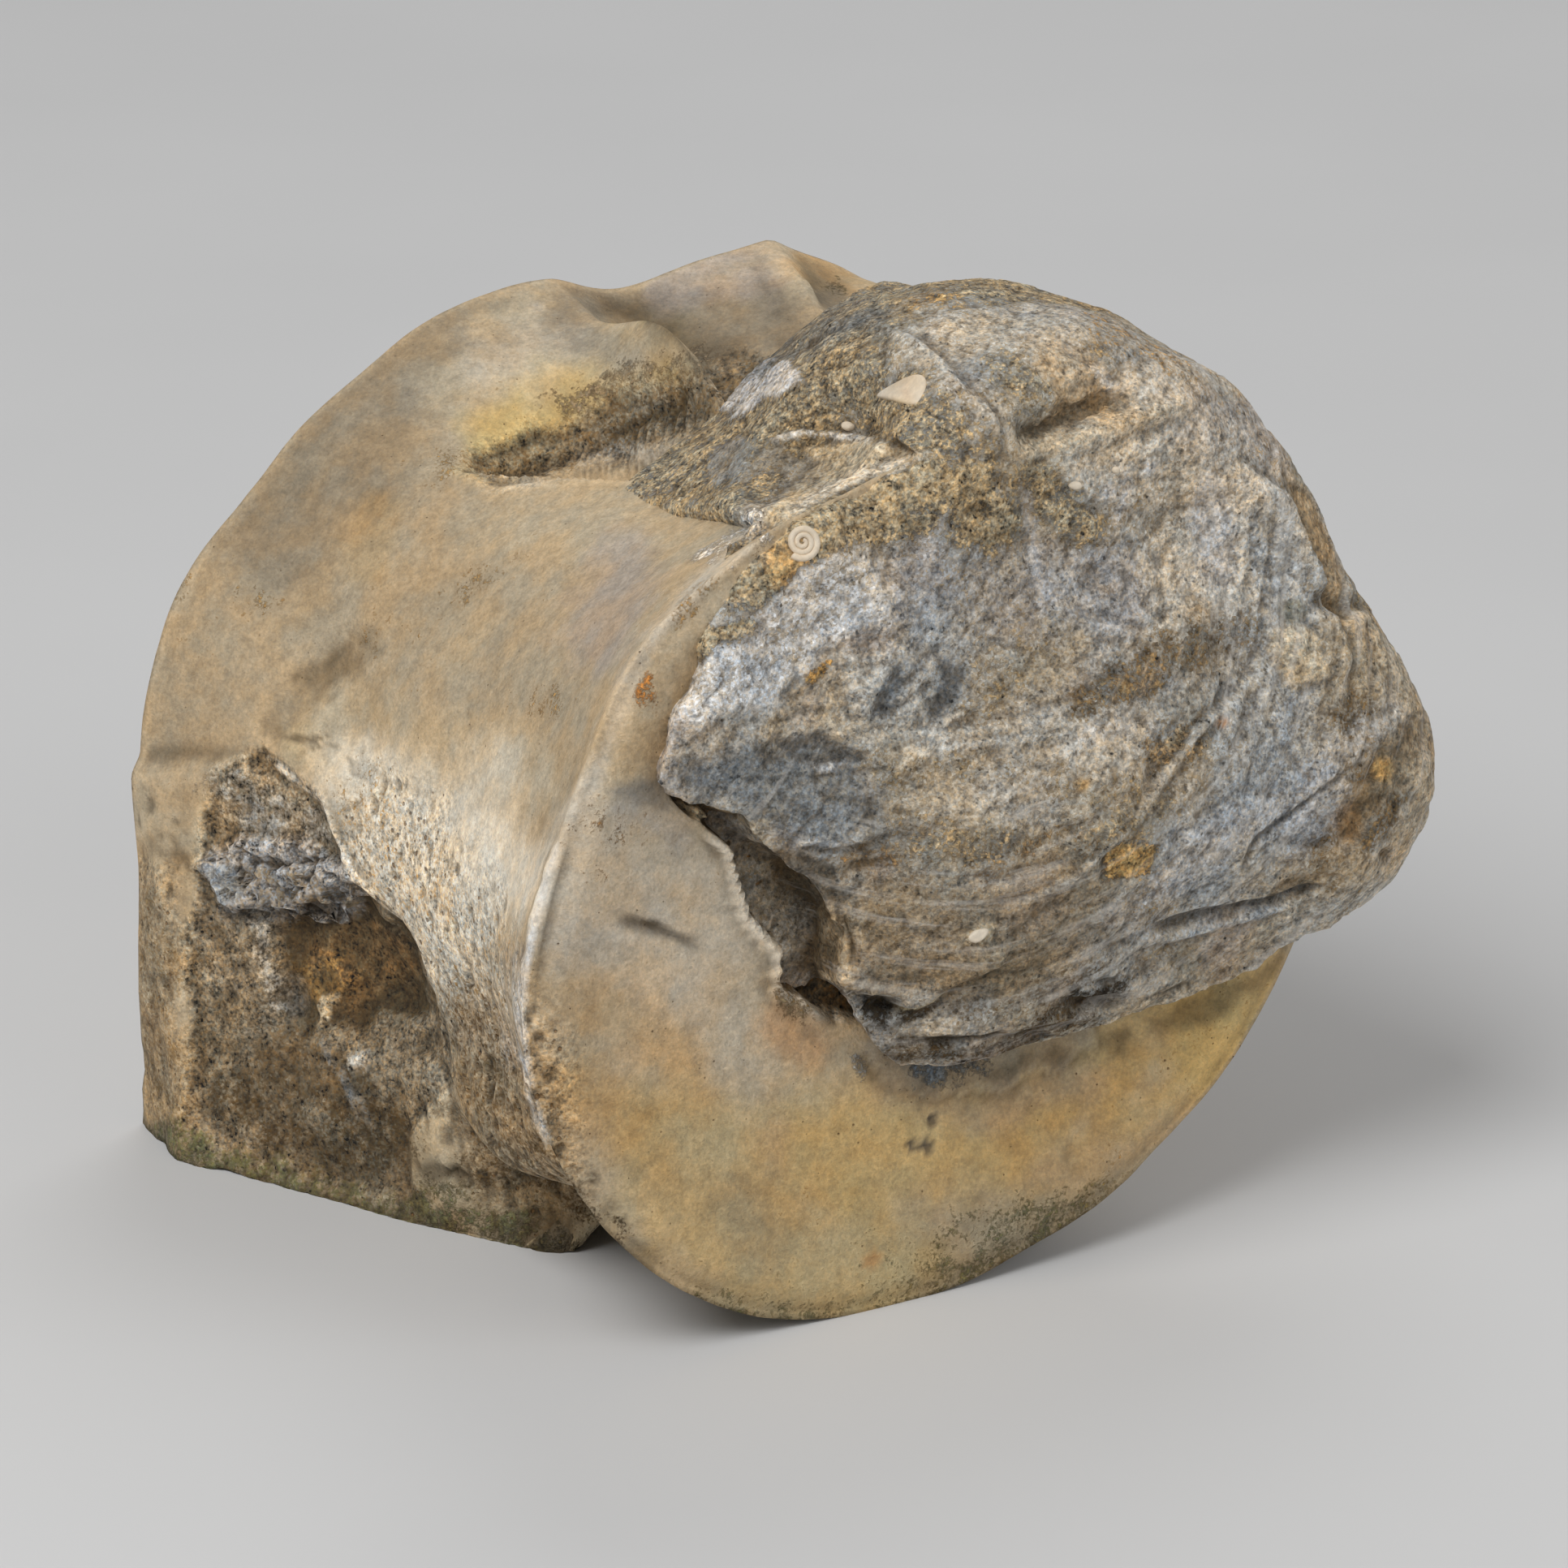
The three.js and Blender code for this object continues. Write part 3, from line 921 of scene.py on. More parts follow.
class Nodes:
    """Short calls for laying out a material's nodes."""

    def __init__(self, material: bpy.types.Material) -> None:
        """Clears the material's tree and takes it.

        Args:
            material: The material that the nodes are laid out in.
        """
        material.use_nodes = True
        self.tree = material.node_tree
        self.tree.nodes.clear()

    def add(self, kind: str, inputs: dict, **settings: object) -> bpy.types.Node:
        """Adds a node.

        Args:
            kind: Blender's name for the node, without its ShaderNode.
            inputs: Socket names or numbers, each with a value or the socket that feeds it.
            settings: The node's own settings.

        Returns:
            The node.
        """
        node = self.tree.nodes.new("ShaderNode" + kind)
        for name, value in settings.items():
            setattr(node, name, value)
        for name, value in inputs.items():
            if isinstance(value, bpy.types.NodeSocket):
                self.tree.links.new(value, node.inputs[name])
            else:
                node.inputs[name].default_value = value
        return node

    def math(self, operation: str, *values: object) -> bpy.types.NodeSocket:
        """A number worked out from one, two or three others."""
        return self.add("Math", dict(enumerate(values)), operation=operation).outputs[0]

    def spread(self, value: object, start: float, stop: float, low: float,
               high: float) -> bpy.types.NodeSocket:
        """Maps a number from one range to another, smoothly, and holds it there."""
        inputs = {0: value, 1: start, 2: stop, 3: low, 4: high}
        return self.add("MapRange", inputs, interpolation_type="SMOOTHSTEP").outputs[0]

    def mix(self, share: object, a: object, b: object, way: str = "MIX") -> bpy.types.NodeSocket:
        """Lays colour b over colour a."""
        inputs = {0: share, 6: a, 7: b}
        return self.add("Mix", inputs, data_type="RGBA", blend_type=way).outputs[2]

    def noise(self, at: object, scale: float, detail: float = 3.0,
              rough: float = 0.55) -> bpy.types.NodeSocket:
        """Soft noise, mostly between 0.3 and 0.7."""
        inputs = {"Vector": at, "Scale": scale, "Detail": detail, "Roughness": rough}
        return self.add("TexNoise", inputs).outputs[0]

    def attribute(self, name: str) -> bpy.types.Node:
        """Reads a layer of the mesh."""
        return self.add("Attribute", {}, attribute_name=name)


@dataclass(frozen=True)
class StoneFinish:
    """Weathered mineral: a stained ground under a ragged coat, with grains, pores and streaks."""

    name: str
    roughness: float = 0.78
    mottle: float = 0.12
    drift: float = 0.05
    speck: float = 0.24
    coat_sand: float = 0.9
    pore_tint: Tint = Tint.BROWN
    streak_tint: Tint = Tint.CHALK
    streak: float = 0.5
    bump_mm: float = 0.16
    fine_per_mm: float = 3.4
    clump_per_mm: float = 1.2
    mottle_per_mm: float = 0.75
    sand_per_mm: float = 4.6
    pore_per_mm: float = 1.5
    coat_border: tuple[float, float] = (1.52, 1.88)

    def build(self) -> bpy.types.Material:
        """Makes the material from the layers tint, coat, finish and flow of a skin.

        Returns:
            The material.
        """
        material = bpy.data.materials.new(self.name)
        n = Nodes(material)
        place = n.add("TexCoord", {}).outputs["Object"]
        at = n.add("VectorMath", {0: place, 3: 1.0 / MM}, operation="SCALE").outputs[0]
        coat = n.attribute("coat")
        shares = n.add("SeparateColor", {0: n.attribute("finish").outputs["Color"]})
        ground_sand, pores, streak = (shares.outputs[i] for i in range(3))
        flow = n.attribute("flow").outputs["Vector"]
        fine = n.noise(at, self.fine_per_mm, 3.0, 0.7)
        middle = n.noise(at, self.mottle_per_mm, 7.0, 0.66)

        # The coat's ragged border, and how sandy the surface is on and off it.
        grains = n.add("TexVoronoi", {"Vector": at, "Scale": self.sand_per_mm})
        of_grain = n.add("SeparateColor", {0: grains.outputs["Color"]})
        shade, warmth, odd = (of_grain.outputs[i] for i in range(3))
        reach = coat.outputs["Alpha"]
        for layer, weight in ((middle, 1.2), (fine, 1.0), (warmth, 0.2)):
            reach = n.math("MULTIPLY_ADD", layer, weight, reach)
        over = n.spread(reach, *self.coat_border, 0.0, 1.0)
        sand = n.math("MULTIPLY_ADD", over, n.math("SUBTRACT", self.coat_sand, ground_sand), ground_sand)

        # Sand grains, each with its own shade and warmth, a few nearly black or white.
        clump = n.noise(at, self.clump_per_mm, 2.0, 0.6)
        speck = n.spread(shade, 0.0, 1.0, -0.5 * self.speck, 0.5 * self.speck)
        for value, start, stop, low, high in (
            (fine, 0.3, 0.7, -self.speck, self.speck), (clump, 0.3, 0.7, -self.speck, self.speck),
            (odd, 0.93, 0.96, 0.0, -0.45), (odd, 0.05, 0.02, 0.0, 0.4),
        ):
            speck = n.math("ADD", speck, n.spread(value, start, stop, low, high))
        sandy = n.math("MULTIPLY_ADD", speck, sand, 1.0)

        mottled = n.spread(middle, 0.3, 0.7, 1.0 - self.mottle, 1.0 + self.mottle)
        grain = n.spread(fine, 0.25, 0.75, 0.93, 1.07)
        wide = n.noise(at, 0.22, 4.0, 0.6)
        warm = n.spread(wide, 0.35, 0.65, -self.drift, self.drift)
        warm = n.math("ADD", warm, n.math("MULTIPLY", n.spread(warmth, 0.0, 1.0, -0.10, 0.10), sand))

        worn = n.noise(flow, 0.9, 5.0, 0.62)
        pale = n.math("MULTIPLY", n.spread(worn, 0.52, 0.68, 0.0, self.streak), streak)
        dark = n.math("MULTIPLY", n.spread(worn, 0.47, 0.33, 0.0, 0.6 * self.streak), streak)

        holes = n.add("TexVoronoi", {"Vector": at, "Scale": self.pore_per_mm})
        which = n.add("SeparateColor", {0: holes.outputs["Color"]}).outputs[1]
        size = n.math("MULTIPLY", n.spread(which, 0.45, 1.0, 0.0, 0.36), pores)
        hole = n.spread(n.math("SUBTRACT", holes.outputs["Distance"], size), -0.10, 0.03, 1.0, 0.0)

        level = n.math("MULTIPLY", n.math("MULTIPLY", mottled, grain), sandy)
        level = n.math("MULTIPLY", level, n.math("SUBTRACT", 1.0, dark))
        red = n.math("MULTIPLY", level, n.math("ADD", 1.0, warm))
        blue = n.math("MULTIPLY", level, n.math("SUBTRACT", 1.0, n.math("MULTIPLY", warm, 1.4)))
        base = n.mix(over, n.attribute("tint").outputs["Color"], coat.outputs["Color"])
        base = n.mix(1.0, base, n.add("CombineColor", {0: red, 1: level, 2: blue}).outputs[0], "MULTIPLY")
        base = n.mix(pale, base, (*self.streak_tint.light(), 1.0))
        base = n.mix(n.math("MULTIPLY", hole, 0.7), base, (*self.pore_tint.light(), 1.0))

        height = n.math("MULTIPLY", middle, 0.9)
        sandy_shade, sandy_clump = n.math("MULTIPLY", shade, sand), n.math("MULTIPLY", clump, sand)
        for layer, weight in ((fine, 0.5), (sandy_shade, 0.5), (sandy_clump, 2.2),
                              (n.math("MULTIPLY", worn, streak), 0.6), (over, 0.25), (hole, -1.2)):
            height = n.math("MULTIPLY_ADD", layer, weight, height)
        bump = n.add("Bump", {"Height": height, "Strength": 1.0, "Distance": self.bump_mm * MM})
        dull = n.spread(fine, 0.3, 0.7, self.roughness - 0.08, self.roughness + 0.08)
        surface = n.add("BsdfPrincipled", {
            "Base Color": base, "Roughness": dull, "Normal": bump.outputs[0],
            "Specular IOR Level": 0.35,
        })
        n.add("OutputMaterial", {"Surface": surface.outputs[0]})
        return material


def finish_piece(mesh: bpy.types.Mesh, name: str,
                 material: bpy.types.Material) -> bpy.types.Object:
    """Makes the finished object from a mesh and hands it to the frame.

    Args:
        mesh: Its mesh, in metres.
        name: Its name.
        material: Its material.

    Returns:
        The object, riding on the fossil.
    """
    mesh.materials.clear()
    mesh.materials.append(material)
    piece = bpy.data.objects.new(name, mesh)
    bpy.context.collection.objects.link(piece)
    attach(piece, "root")
    log.info("%s: %d faces", name, len(mesh.polygons))
    return piece


def applied(mesh: bpy.types.Mesh, kind: str, **settings: object) -> bpy.types.Mesh:
    """Runs one modifier on a mesh.

    Args:
        mesh: The mesh, which is used up.
        kind: The modifier's type.
        settings: The modifier's settings.

    Returns:
        The new mesh.
    """
    holder = bpy.data.objects.new("holder", mesh)
    bpy.context.collection.objects.link(holder)
    modifier = holder.modifiers.new("work", kind)
    for name, value in settings.items():
        setattr(modifier, name, value)
    seen = holder.evaluated_get(bpy.context.evaluated_depsgraph_get())
    result = bpy.data.meshes.new_from_object(seen)
    bpy.data.objects.remove(holder)
    return result


# ---- Kinds of mark -------------------------------------------------------------------------

def coat(points: Points, width: float, tint: Tint, strength: float = 0.6,
         soft: float = 30.0, ragged: float = 24.0) -> Mark:
    """Ragged patches of another colour, along a line."""
    return Mark(points, width, tint, strength, 0.0, soft, ragged, Reach.LINE, Lay.COAT)


def stain(points: Points, width: float, tint: Tint, strength: float = 0.6,
          soft: float = 40.0, ragged: float = 30.0) -> Mark:
    """A soft stain along a line."""
    return Mark(points, width, tint, strength, 0.0, soft, ragged)


def area(points: Points, tint: Tint, strength: float = 0.8, height: float = 0.0, soft: float = 10.0,
         ragged: float = 12.0, lay: Lay = Lay.SOAK) -> Mark:
    """A patch with a border."""
    return Mark(points, 0.0, tint, strength, height, soft, ragged, Reach.AREA, lay)


def step(points: Points, width: float, height: float, tint: Tint | None = None,
         strength: float = 0.5, soft: float = 5.0, ragged: float = 6.0) -> Mark:
    """A broken layer's edge: raised on the left of its line, fading away from it."""
    return Mark(points, width, tint, strength, height, soft, ragged, Reach.STEP)


def slot(points: Points, width: float = 6.0, height: float = -0.7, tint: Tint = Tint.SHADE_BLACK) -> Mark:
    """A carved gap or crack, painted near black by default as its shade."""
    return Mark(points, width, tint, 0.85, height, 6.0, 5.0)


def vein(points: Points, width: float = 4.0, tint: Tint = Tint.CHALK, height: float = 0.15) -> Mark:
    """A thin line of shell or scratch."""
    return Mark(points, width, tint, 0.75, height, 4.0, 3.0)


def along(skin: Skin, points: Points, width: float, soft: float, ragged: float = 30.0) -> np.ndarray:
    """How near each point of a skin is to a line, 0 to 1."""
    return Mark(points, width, None, 1.0, 0.0, soft, ragged).amount(skin)


def within(skin: Skin, points: Points, soft: float, ragged: float) -> np.ndarray:
    """How far each point of a skin lies inside a border, 0 to 1."""
    return Mark(points, 0.0, None, 1.0, 0.0, soft, ragged, Reach.AREA).amount(skin)


# ---- The bone ------------------------------------------------------------------------------

RIB_FACET = ((262, 950), (325, 922), (395, 985), (432, 1075), (515, 1172), (545, 1262), (560, 1330),
             (500, 1400), (505, 1470), (450, 1468), (330, 1440), (225, 1400), (235, 1320), (232, 1150))
FLAKY = ((250, 1068), (300, 1036), (350, 1042), (420, 1056), (446, 1096), (420, 1140), (345, 1134),
         (275, 1128))
DARK_PIT = ((330, 1140), (440, 1105), (500, 1170), (512, 1245), (430, 1275), (350, 1250))
SANDY_FOLD = ((577, 562), (605, 590), (690, 572), (760, 556), (830, 540), (890, 520), (950, 460), (920, 444),
              (861, 466), (800, 476), (745, 500), (695, 532), (632, 545))
TRENCH = ((830, 978), (870, 992), (915, 1015), (960, 1050), (1030, 1105), (1060, 1180), (1100, 1235),
          (1080, 1262), (1050, 1258), (1005, 1238), (968, 1214), (966, 1170), (926, 1124), (906, 1046),
          (866, 1016))
LEDGE_FOOT_SHADOW = ((985, 1150), (1000, 1215), (1040, 1290), (1085, 1325), (1150, 1345), (1240, 1318),
              (1330, 1290), (1430, 1262), (1530, 1215), (1600, 1170))


@dataclass
class Vertebra:
    """The bone: a waisted drum with dished ends and a broken rib boss low on its left."""

    form: BoneForm = BoneForm(boss_blend=1.4)
    turns: int = 396
    flank_rings: int = 140
    front_rings: int = 60
    rear_rings: int = 32
    seen_deg: float = 160.0
    closer: float = 0.35
    finish: StoneFinish = (
        StoneFinish("fossil_bone", 0.76, 0.12, 0.06, 0.44, 0.8, Tint.RUST, Tint.PALE, 0.22, 0.16))
    marks: tuple[Mark, ...] = (
        # Colours of the flank, from the left lobe over the hollow to the far ridge.
        stain(((330, 640), (420, 560), (480, 470), (560, 410)), 130, Tint.DRAB, 0.7, 60),
        stain(((250, 760), (200, 900)), 60, Tint.TAN, 0.4, 50),
        stain(((600, 400), (660, 375)), 30, Tint.CREAM, 0.6, 20, 14),
        stain(((645, 372), (680, 380)), 10, Tint.MIST, 0.7, 8, 8),
        stain(((480, 500), (560, 470), (620, 440)), 14, Tint.ASH, 0.5, 22, 30),
        stain(((560, 480), (640, 500), (740, 470)), 70, Tint.CREAM, 0.7, 40),
        stain(((610, 540), (650, 510), (710, 475), (780, 435), (820, 430)), 70, Tint.STRAW, 0.85, 34, 24),
        stain(((760, 400), (830, 440)), 30, Tint.STRAW, 0.8, 20),
        stain(((440, 690), (450, 640)), 50, Tint.OCHRE, 0.35, 30),
        # Drab and umber in the trough behind the crest: painted shade.
        stain(((720, 400), (860, 410), (960, 395)), 90, Tint.DRAB, 0.8, 26, 16),
        stain(((760, 385), (850, 430), (900, 440)), 34, Tint.UMBER, 0.5, 26, 10),
        stain(((600, 450), (700, 430), (760, 450)), 60, Tint.PALE, 0.32, 40),
        stain(((820, 350), (900, 330), (950, 340)), 40, Tint.LILAC, 0.5, 26),
        stain(((825, 372), (880, 372)), 8, Tint.ASH, 0.6, 10, 14),
        stain(((990, 330), (1060, 340), (1140, 362)), 40, Tint.OCHRE, 0.5, 16),
        coat(((1000, 350), (1060, 360)), 20, Tint.MOSS, 0.5),
        step(((1006, 395), (999, 359), (972, 327), (941, 300)), 40, 0.5, Tint.CREAM, 0.4),
        # The crisp crest in front of the trough, and the sandy fold under its yellow slope.
        stain(((866, 466), (834, 442), (770, 405), (724, 386)), 16, Tint.CREAM, 0.5, 10, 4),
        coat(((860, 462), (790, 480), (720, 500)), 60, Tint.DRAB, 0.5, 34),
        area(SANDY_FOLD, Tint.DRAB, 0.75, -0.5, 16, 16),
        area(SANDY_FOLD, Tint.BROWN, 0.5, 0, 24, 26, Lay.COAT),
        slot(((590, 580), (640, 578), (700, 560), (760, 540)), 8, -0.6, Tint.UMBER),
        slot(((740, 540), (800, 510), (860, 490)), 12, -0.6),
        slot(((770, 545), (830, 520), (880, 505)), 5, -0.5),
        coat(((750, 530), (800, 510), (850, 490)), 34, Tint.UMBER, 0.5, 16),
        stain(((690, 568), (760, 556), (834, 560), (880, 584)), 16, Tint.GREY, 0.6, 10, 8),
        step(((588, 604), (640, 594), (700, 586), (760, 580), (830, 586), (870, 604)), 40, -0.3, None, 0),
        stain(((596, 600), (640, 594), (690, 586)), 8, Tint.PALE, 0.6, 10, 10),
        # The saddle between hollow and front rim, with a chalky edge against the rock.
        stain(((640, 640), (760, 640), (860, 650)), 90, Tint.CREAM, 0.5, 50),
        coat(((860, 600), (900, 625), (930, 640), (880, 690)), 30, Tint.CHALK, 0.55, 20),
        stain(((770, 700), (740, 780)), 60, Tint.LILAC, 0.5, 40),
        stain(((680, 655), (685, 662)), 5, Tint.RUST, 0.6, 5, 4),
        # The side groove and its stains.
        stain(((440, 795), (400, 830), (365, 870)), 22, Tint.BROWN, 0.7, 24, 20),
        Mark(((440, 795), (390, 840), (345, 890)), 30, None, 0, -0.5, 26, 12),
        slot(((337, 906), (380, 912), (420, 903)), 3, -0.25, Tint.RUST),
        slot(((360, 930), (395, 918), (425, 922)), 3, -0.25, Tint.RUST),
        slot(((420, 1002), (440, 990), (455, 978)), 5, -0.3, Tint.RUST),
        stain(((370, 920), (430, 960), (500, 1000)), 30, Tint.STRAW, 0.35, 26),
        area(((428, 935), (448, 938), (486, 965), (470, 972), (432, 955)), Tint.ASH, 0.75, -0.1, 5, 5),
        # The slope between boss and rim, pale bone brightened near white with painted highlight where it
        # faces the light, pitted more and more towards the sole.
        stain(((420, 900), (520, 930), (620, 950)), 90, Tint.CREAM, 0.7, 50),
        stain(((430, 960), (510, 1020), (590, 1040)), 70, Tint.HIGHLIGHT_CREAM, 0.8, 44, 20),
        stain(((470, 1080), (560, 1130), (620, 1080)), 100, Tint.HIGHLIGHT_CREAM, 0.85, 40, 20),
        stain(((480, 960), (560, 1000), (600, 960)), 80, Tint.HIGHLIGHT_CREAM, 0.45, 40, 20),
        stain(((550, 1180), (600, 1250)), 80, Tint.HIGHLIGHT_CREAM, 0.7, 30, 20),
        coat(((450, 1000), (520, 1100), (600, 1190)), 110, Tint.OCHRE, 0.30, 40),
        # Browner and darker down the trough to the sole: its dark pores, with painted shade.
        stain(((590, 1290), (620, 1380), (660, 1460)), 110, Tint.TAN, 0.6, 30),
        coat(((575, 1250), (605, 1340), (645, 1440)), 100, Tint.BROWN, 0.45, 40),
        coat(((588, 1262), (612, 1330), (645, 1415), (700, 1480)), 56, Tint.UMBER, 0.46, 26),
        coat(((570, 1440), (640, 1450), (700, 1500), (760, 1550)), 50, Tint.UMBER, 0.5, 30),
        stain(((630, 1480), (700, 1520), (780, 1560)), 30, Tint.BROWN, 0.7, 20),
        area(((500, 1320), (540, 1300), (556, 1350), (545, 1400), (560, 1440), (520, 1430), (505, 1380)),
             Tint.CREAM, 0.8, 0.4, 8, 10),
        slot(((515, 1368), (536, 1362)), 6, -0.3, Tint.RUST),
        slot(((528, 1434), (560, 1446), (592, 1462)), 11, -1.2),
        # The broken facet of the boss.
        area(RIB_FACET, Tint.DRAB, 0.95, -0.4, 6, 5),
        stain(((275, 1000), (330, 960), (370, 1010)), 70, Tint.TAN, 0.6, 24),
        stain(((250, 1170), (255, 1300), (290, 1400)), 40, Tint.TAN, 0.4, 30),
        coat(((280, 980), (340, 1010), (380, 1030)), 60, Tint.GREY, 0.5, 30),
        coat(((310, 1290), (380, 1320), (440, 1290)), 40, Tint.TAN, 0.5, 30),
        area(DARK_PIT, Tint.BROWN, 0.9, -1.1, 26, 22),
        area(DARK_PIT, Tint.UMBER, 0.75, 0, 26, 30, Lay.COAT),
        stain(((380, 1180), (430, 1150), (470, 1200), (420, 1240)), 34, Tint.RUST, 0.6, 20),
        area(((350, 1196), (395, 1180), (420, 1210), (380, 1240)), Tint.OCHRE, 0.36, 0.2, 12, 14, Lay.COAT),
        coat(((345, 1185), (352, 1235)), 22, Tint.UMBER, 0.8, 10),
        coat(((432, 1110), (470, 1150), (505, 1190)), 26, Tint.SHADE_BLACK, 0.5, 12),
        stain(((280, 1290), (340, 1330), (420, 1360), (480, 1400)), 110, Tint.BROWN, 0.35, 36),
        coat(((350, 1300), (420, 1350), (470, 1420)), 70, Tint.UMBER, 0.55, 40),
        coat(((290, 1350), (350, 1400), (430, 1440)), 60, Tint.UMBER, 0.5, 40),
        area(FLAKY, Tint.MIST, 0.6, 0.5, 12, 16),
        coat(((300, 1090), (380, 1100)), 50, Tint.DRAB, 0.5, 30),
        area(((253, 1075), (290, 1068), (296, 1105), (268, 1120)), Tint.BLUE, 0.8, 0.2, 8, 8, Lay.COAT),
        slot(((262, 1124), (300, 1128), (360, 1126), (420, 1122)), 7, -0.7),
        slot(((290, 1062), (350, 1066), (400, 1060), (430, 1080)), 3, -0.4, Tint.UMBER),
        coat(((316, 1140), (324, 1190), (340, 1236)), 30, Tint.GREY, 0.62, 16, 20),
        coat(((300, 1255), (330, 1270)), 26, Tint.BLUE, 0.7, 10, 12),
        stain(((330, 1215), (350, 1235)), 20, Tint.SLATE, 0.8, 10, 10),
        slot(((344, 1036), (352, 1030), (366, 1034), (372, 1046)), 6, -0.9, Tint.UMBER),
        slot(((455, 1140), (490, 1160), (500, 1190)), 16, -0.6, Tint.SHADE_BLACK),
        area(((378, 1240), (388, 1226), (402, 1226), (398, 1250), (385, 1262)), Tint.CREAM, 0.9, 0.4, 4, 5),
        area(((425, 1302), (448, 1296), (447, 1312), (430, 1316)), Tint.PALE, 0.9, 0.4, 4, 4),
        vein(((318, 925), (395, 985), (432, 1075), (515, 1172)), 7, Tint.PALE, 0.3),
        vein(((385, 1270), (420, 1330), (460, 1400)), 4, Tint.SLATE, 0.3),
        stain(((255, 960), (236, 1060), (226, 1200), (235, 1330)), 10, Tint.CREAM, 0.7, 7, 6),
        # The pitted strip left of the facet and the crumbled, green-tinged underside of the boss.
        stain(((190, 1060), (190, 1200), (196, 1360)), 60, Tint.TAN, 0.7, 20),
        coat(((180, 1130), (190, 1240), (205, 1370)), 50, Tint.BROWN, 0.42, 20),
        stain(((190, 1390), (270, 1440), (400, 1478), (510, 1495), (600, 1505)), 40, Tint.TAN, 0.8, 16),
        coat(((190, 1400), (270, 1440), (400, 1480), (520, 1497), (640, 1515)), 44, Tint.MOSS, 0.6, 20),
        # The front face: its chalky rim with a painted highlight along its edge, stains and pits, and painted
        # shade under the ledge.
        # Chalky line down the front rim: its pale edge with painted highlight.
        stain(((690, 1030), (655, 1150), (640, 1250), (650, 1350), (680, 1420)), 5, Tint.CHALK, 0.85, 6, 6),
        stain(((640, 1150), (630, 1250), (640, 1330)), 20, Tint.MIST, 0.3, 14),
        # Pale line along the upper front rim: its pale edge with painted highlight.
        stain(((940, 655), (870, 710), (810, 780), (770, 850), (735, 950), (690, 1030)), 14, Tint.PALE, 0.7,
              12, 8),
        coat(((900, 690), (850, 750), (810, 800)), 16, Tint.OCHRE, 0.4, 12),
        coat(((812, 800), (796, 850), (802, 890)), 12, Tint.ORANGE, 0.6, 12),
        stain(((780, 1000), (840, 1030)), 30, Tint.BLUE, 0.5, 24),
        coat(((720, 1040), (770, 1020), (740, 1080)), 50, Tint.RUST, 0.42, 30),
        stain(((740, 1090), (820, 1180), (900, 1120)), 150, Tint.PALE, 0.5, 60),
        stain(((800, 1330), (900, 1380), (1000, 1340)), 130, Tint.CREAM, 0.4, 60),
        stain(((820, 1270), (880, 1290)), 110, Tint.PALE, 0.35, 50),
        stain(((700, 1170), (780, 1130)), 50, Tint.GREY, 0.35, 36),
        stain(((840, 1420), (900, 1480), (960, 1540), (1060, 1560)), 150, Tint.STRAW, 0.45, 60),
        stain(((760, 1240), (840, 1290), (850, 1350)), 50, Tint.OCHRE, 0.5, 40),
        stain(((730, 1350), (800, 1420)), 50, Tint.OCHRE, 0.5, 40),
        stain(((970, 1260), (1000, 1290)), 40, Tint.ORANGE, 0.4, 26),
        stain(((1000, 1440), (1200, 1410), (1400, 1340), (1500, 1290)), 110, Tint.OCHRE, 0.5, 50),
        stain(((1250, 1390), (1330, 1370), (1400, 1310)), 40, Tint.ORANGE, 0.3, 30),
        stain(((1480, 1240), (1540, 1200), (1500, 1300)), 70, Tint.STRAW, 0.6, 30),
        stain(((1050, 1410), (1250, 1360), (1450, 1270)), 130, Tint.STRAW, 0.5, 60),
        stain(((1380, 1370), (1450, 1300)), 14, Tint.CREAM, 0.5, 14, 20),
        stain(((1400, 1300), (1440, 1260)), 20, Tint.CREAM, 0.4, 14, 20),
        coat(((1440, 1330), (1500, 1260), (1550, 1200)), 30, Tint.OCHRE, 0.2, 30),
        area(((762, 976), (800, 955), (850, 945), (860, 990), (800, 998)), Tint.SLATE, 0.55, 0, 14, 14),
        stain(((1100, 1340), (1200, 1370), (1330, 1330)), 30, Tint.LILAC, 0.3, 30),
        stain(((1280, 1440), (1360, 1360)), 16, Tint.CREAM, 0.5, 14),
        stain(((920, 1480), (940, 1560)), 50, Tint.DRAB, 0.3, 30),
        stain(((1067, 1553),), 20, Tint.ORANGE, 0.6, 8),
        stain(((1055, 1570), (1075, 1575)), 4, Tint.BROWN, 0.6, 4, 4),
        Mark(((750, 1130), (810, 1145), (870, 1165)), 8, Tint.ASH, 0.6, -0.2, 10, 8),
        slot(((775, 1133), (830, 1146)), 2, -0.15, Tint.UMBER),
        slot(((1149, 1380),), 7, -0.4, Tint.SLATE),
        slot(((1142, 1412),), 7, -0.4, Tint.SLATE),
        slot(((1124, 1412),), 6, -0.4, Tint.SLATE),
        # The crevice that follows the rock's broken edge, dark with dirt and painted shade.
        area(TRENCH, Tint.UMBER, 0.85, -1.7, 6, 9),
        area(TRENCH, Tint.RUST, 0.45, 0, 8, 20, Lay.COAT),
        slot(((880, 1004), (930, 1030), (975, 1068), (1010, 1105)), 26, -0.8),
        step(((866, 1018), (906, 1048), (924, 1120), (962, 1170), (964, 1214), (1002, 1240), (1050, 1262)),
             30, -0.1, None, 0),
        vein(((1055, 1262), (1002, 1242), (960, 1216), (958, 1172), (920, 1126), (902, 1050), (862, 1022)),
             12, Tint.PALE, 0.4),
        slot(((912, 1050), (916, 1090), (936, 1130)), 4, -0.3, Tint.UMBER),
        area(((852, 998), (872, 1000), (884, 1012), (864, 1016)), Tint.CREAM, 0.9, 0.9, 4, 5),
        coat(((960, 1180), (975, 1230), (1020, 1262)), 26, Tint.BROWN, 0.5, 16),
        coat(((1030, 1275), (1060, 1310), (1085, 1340)), 26, Tint.BLUE, 0.55, 14),
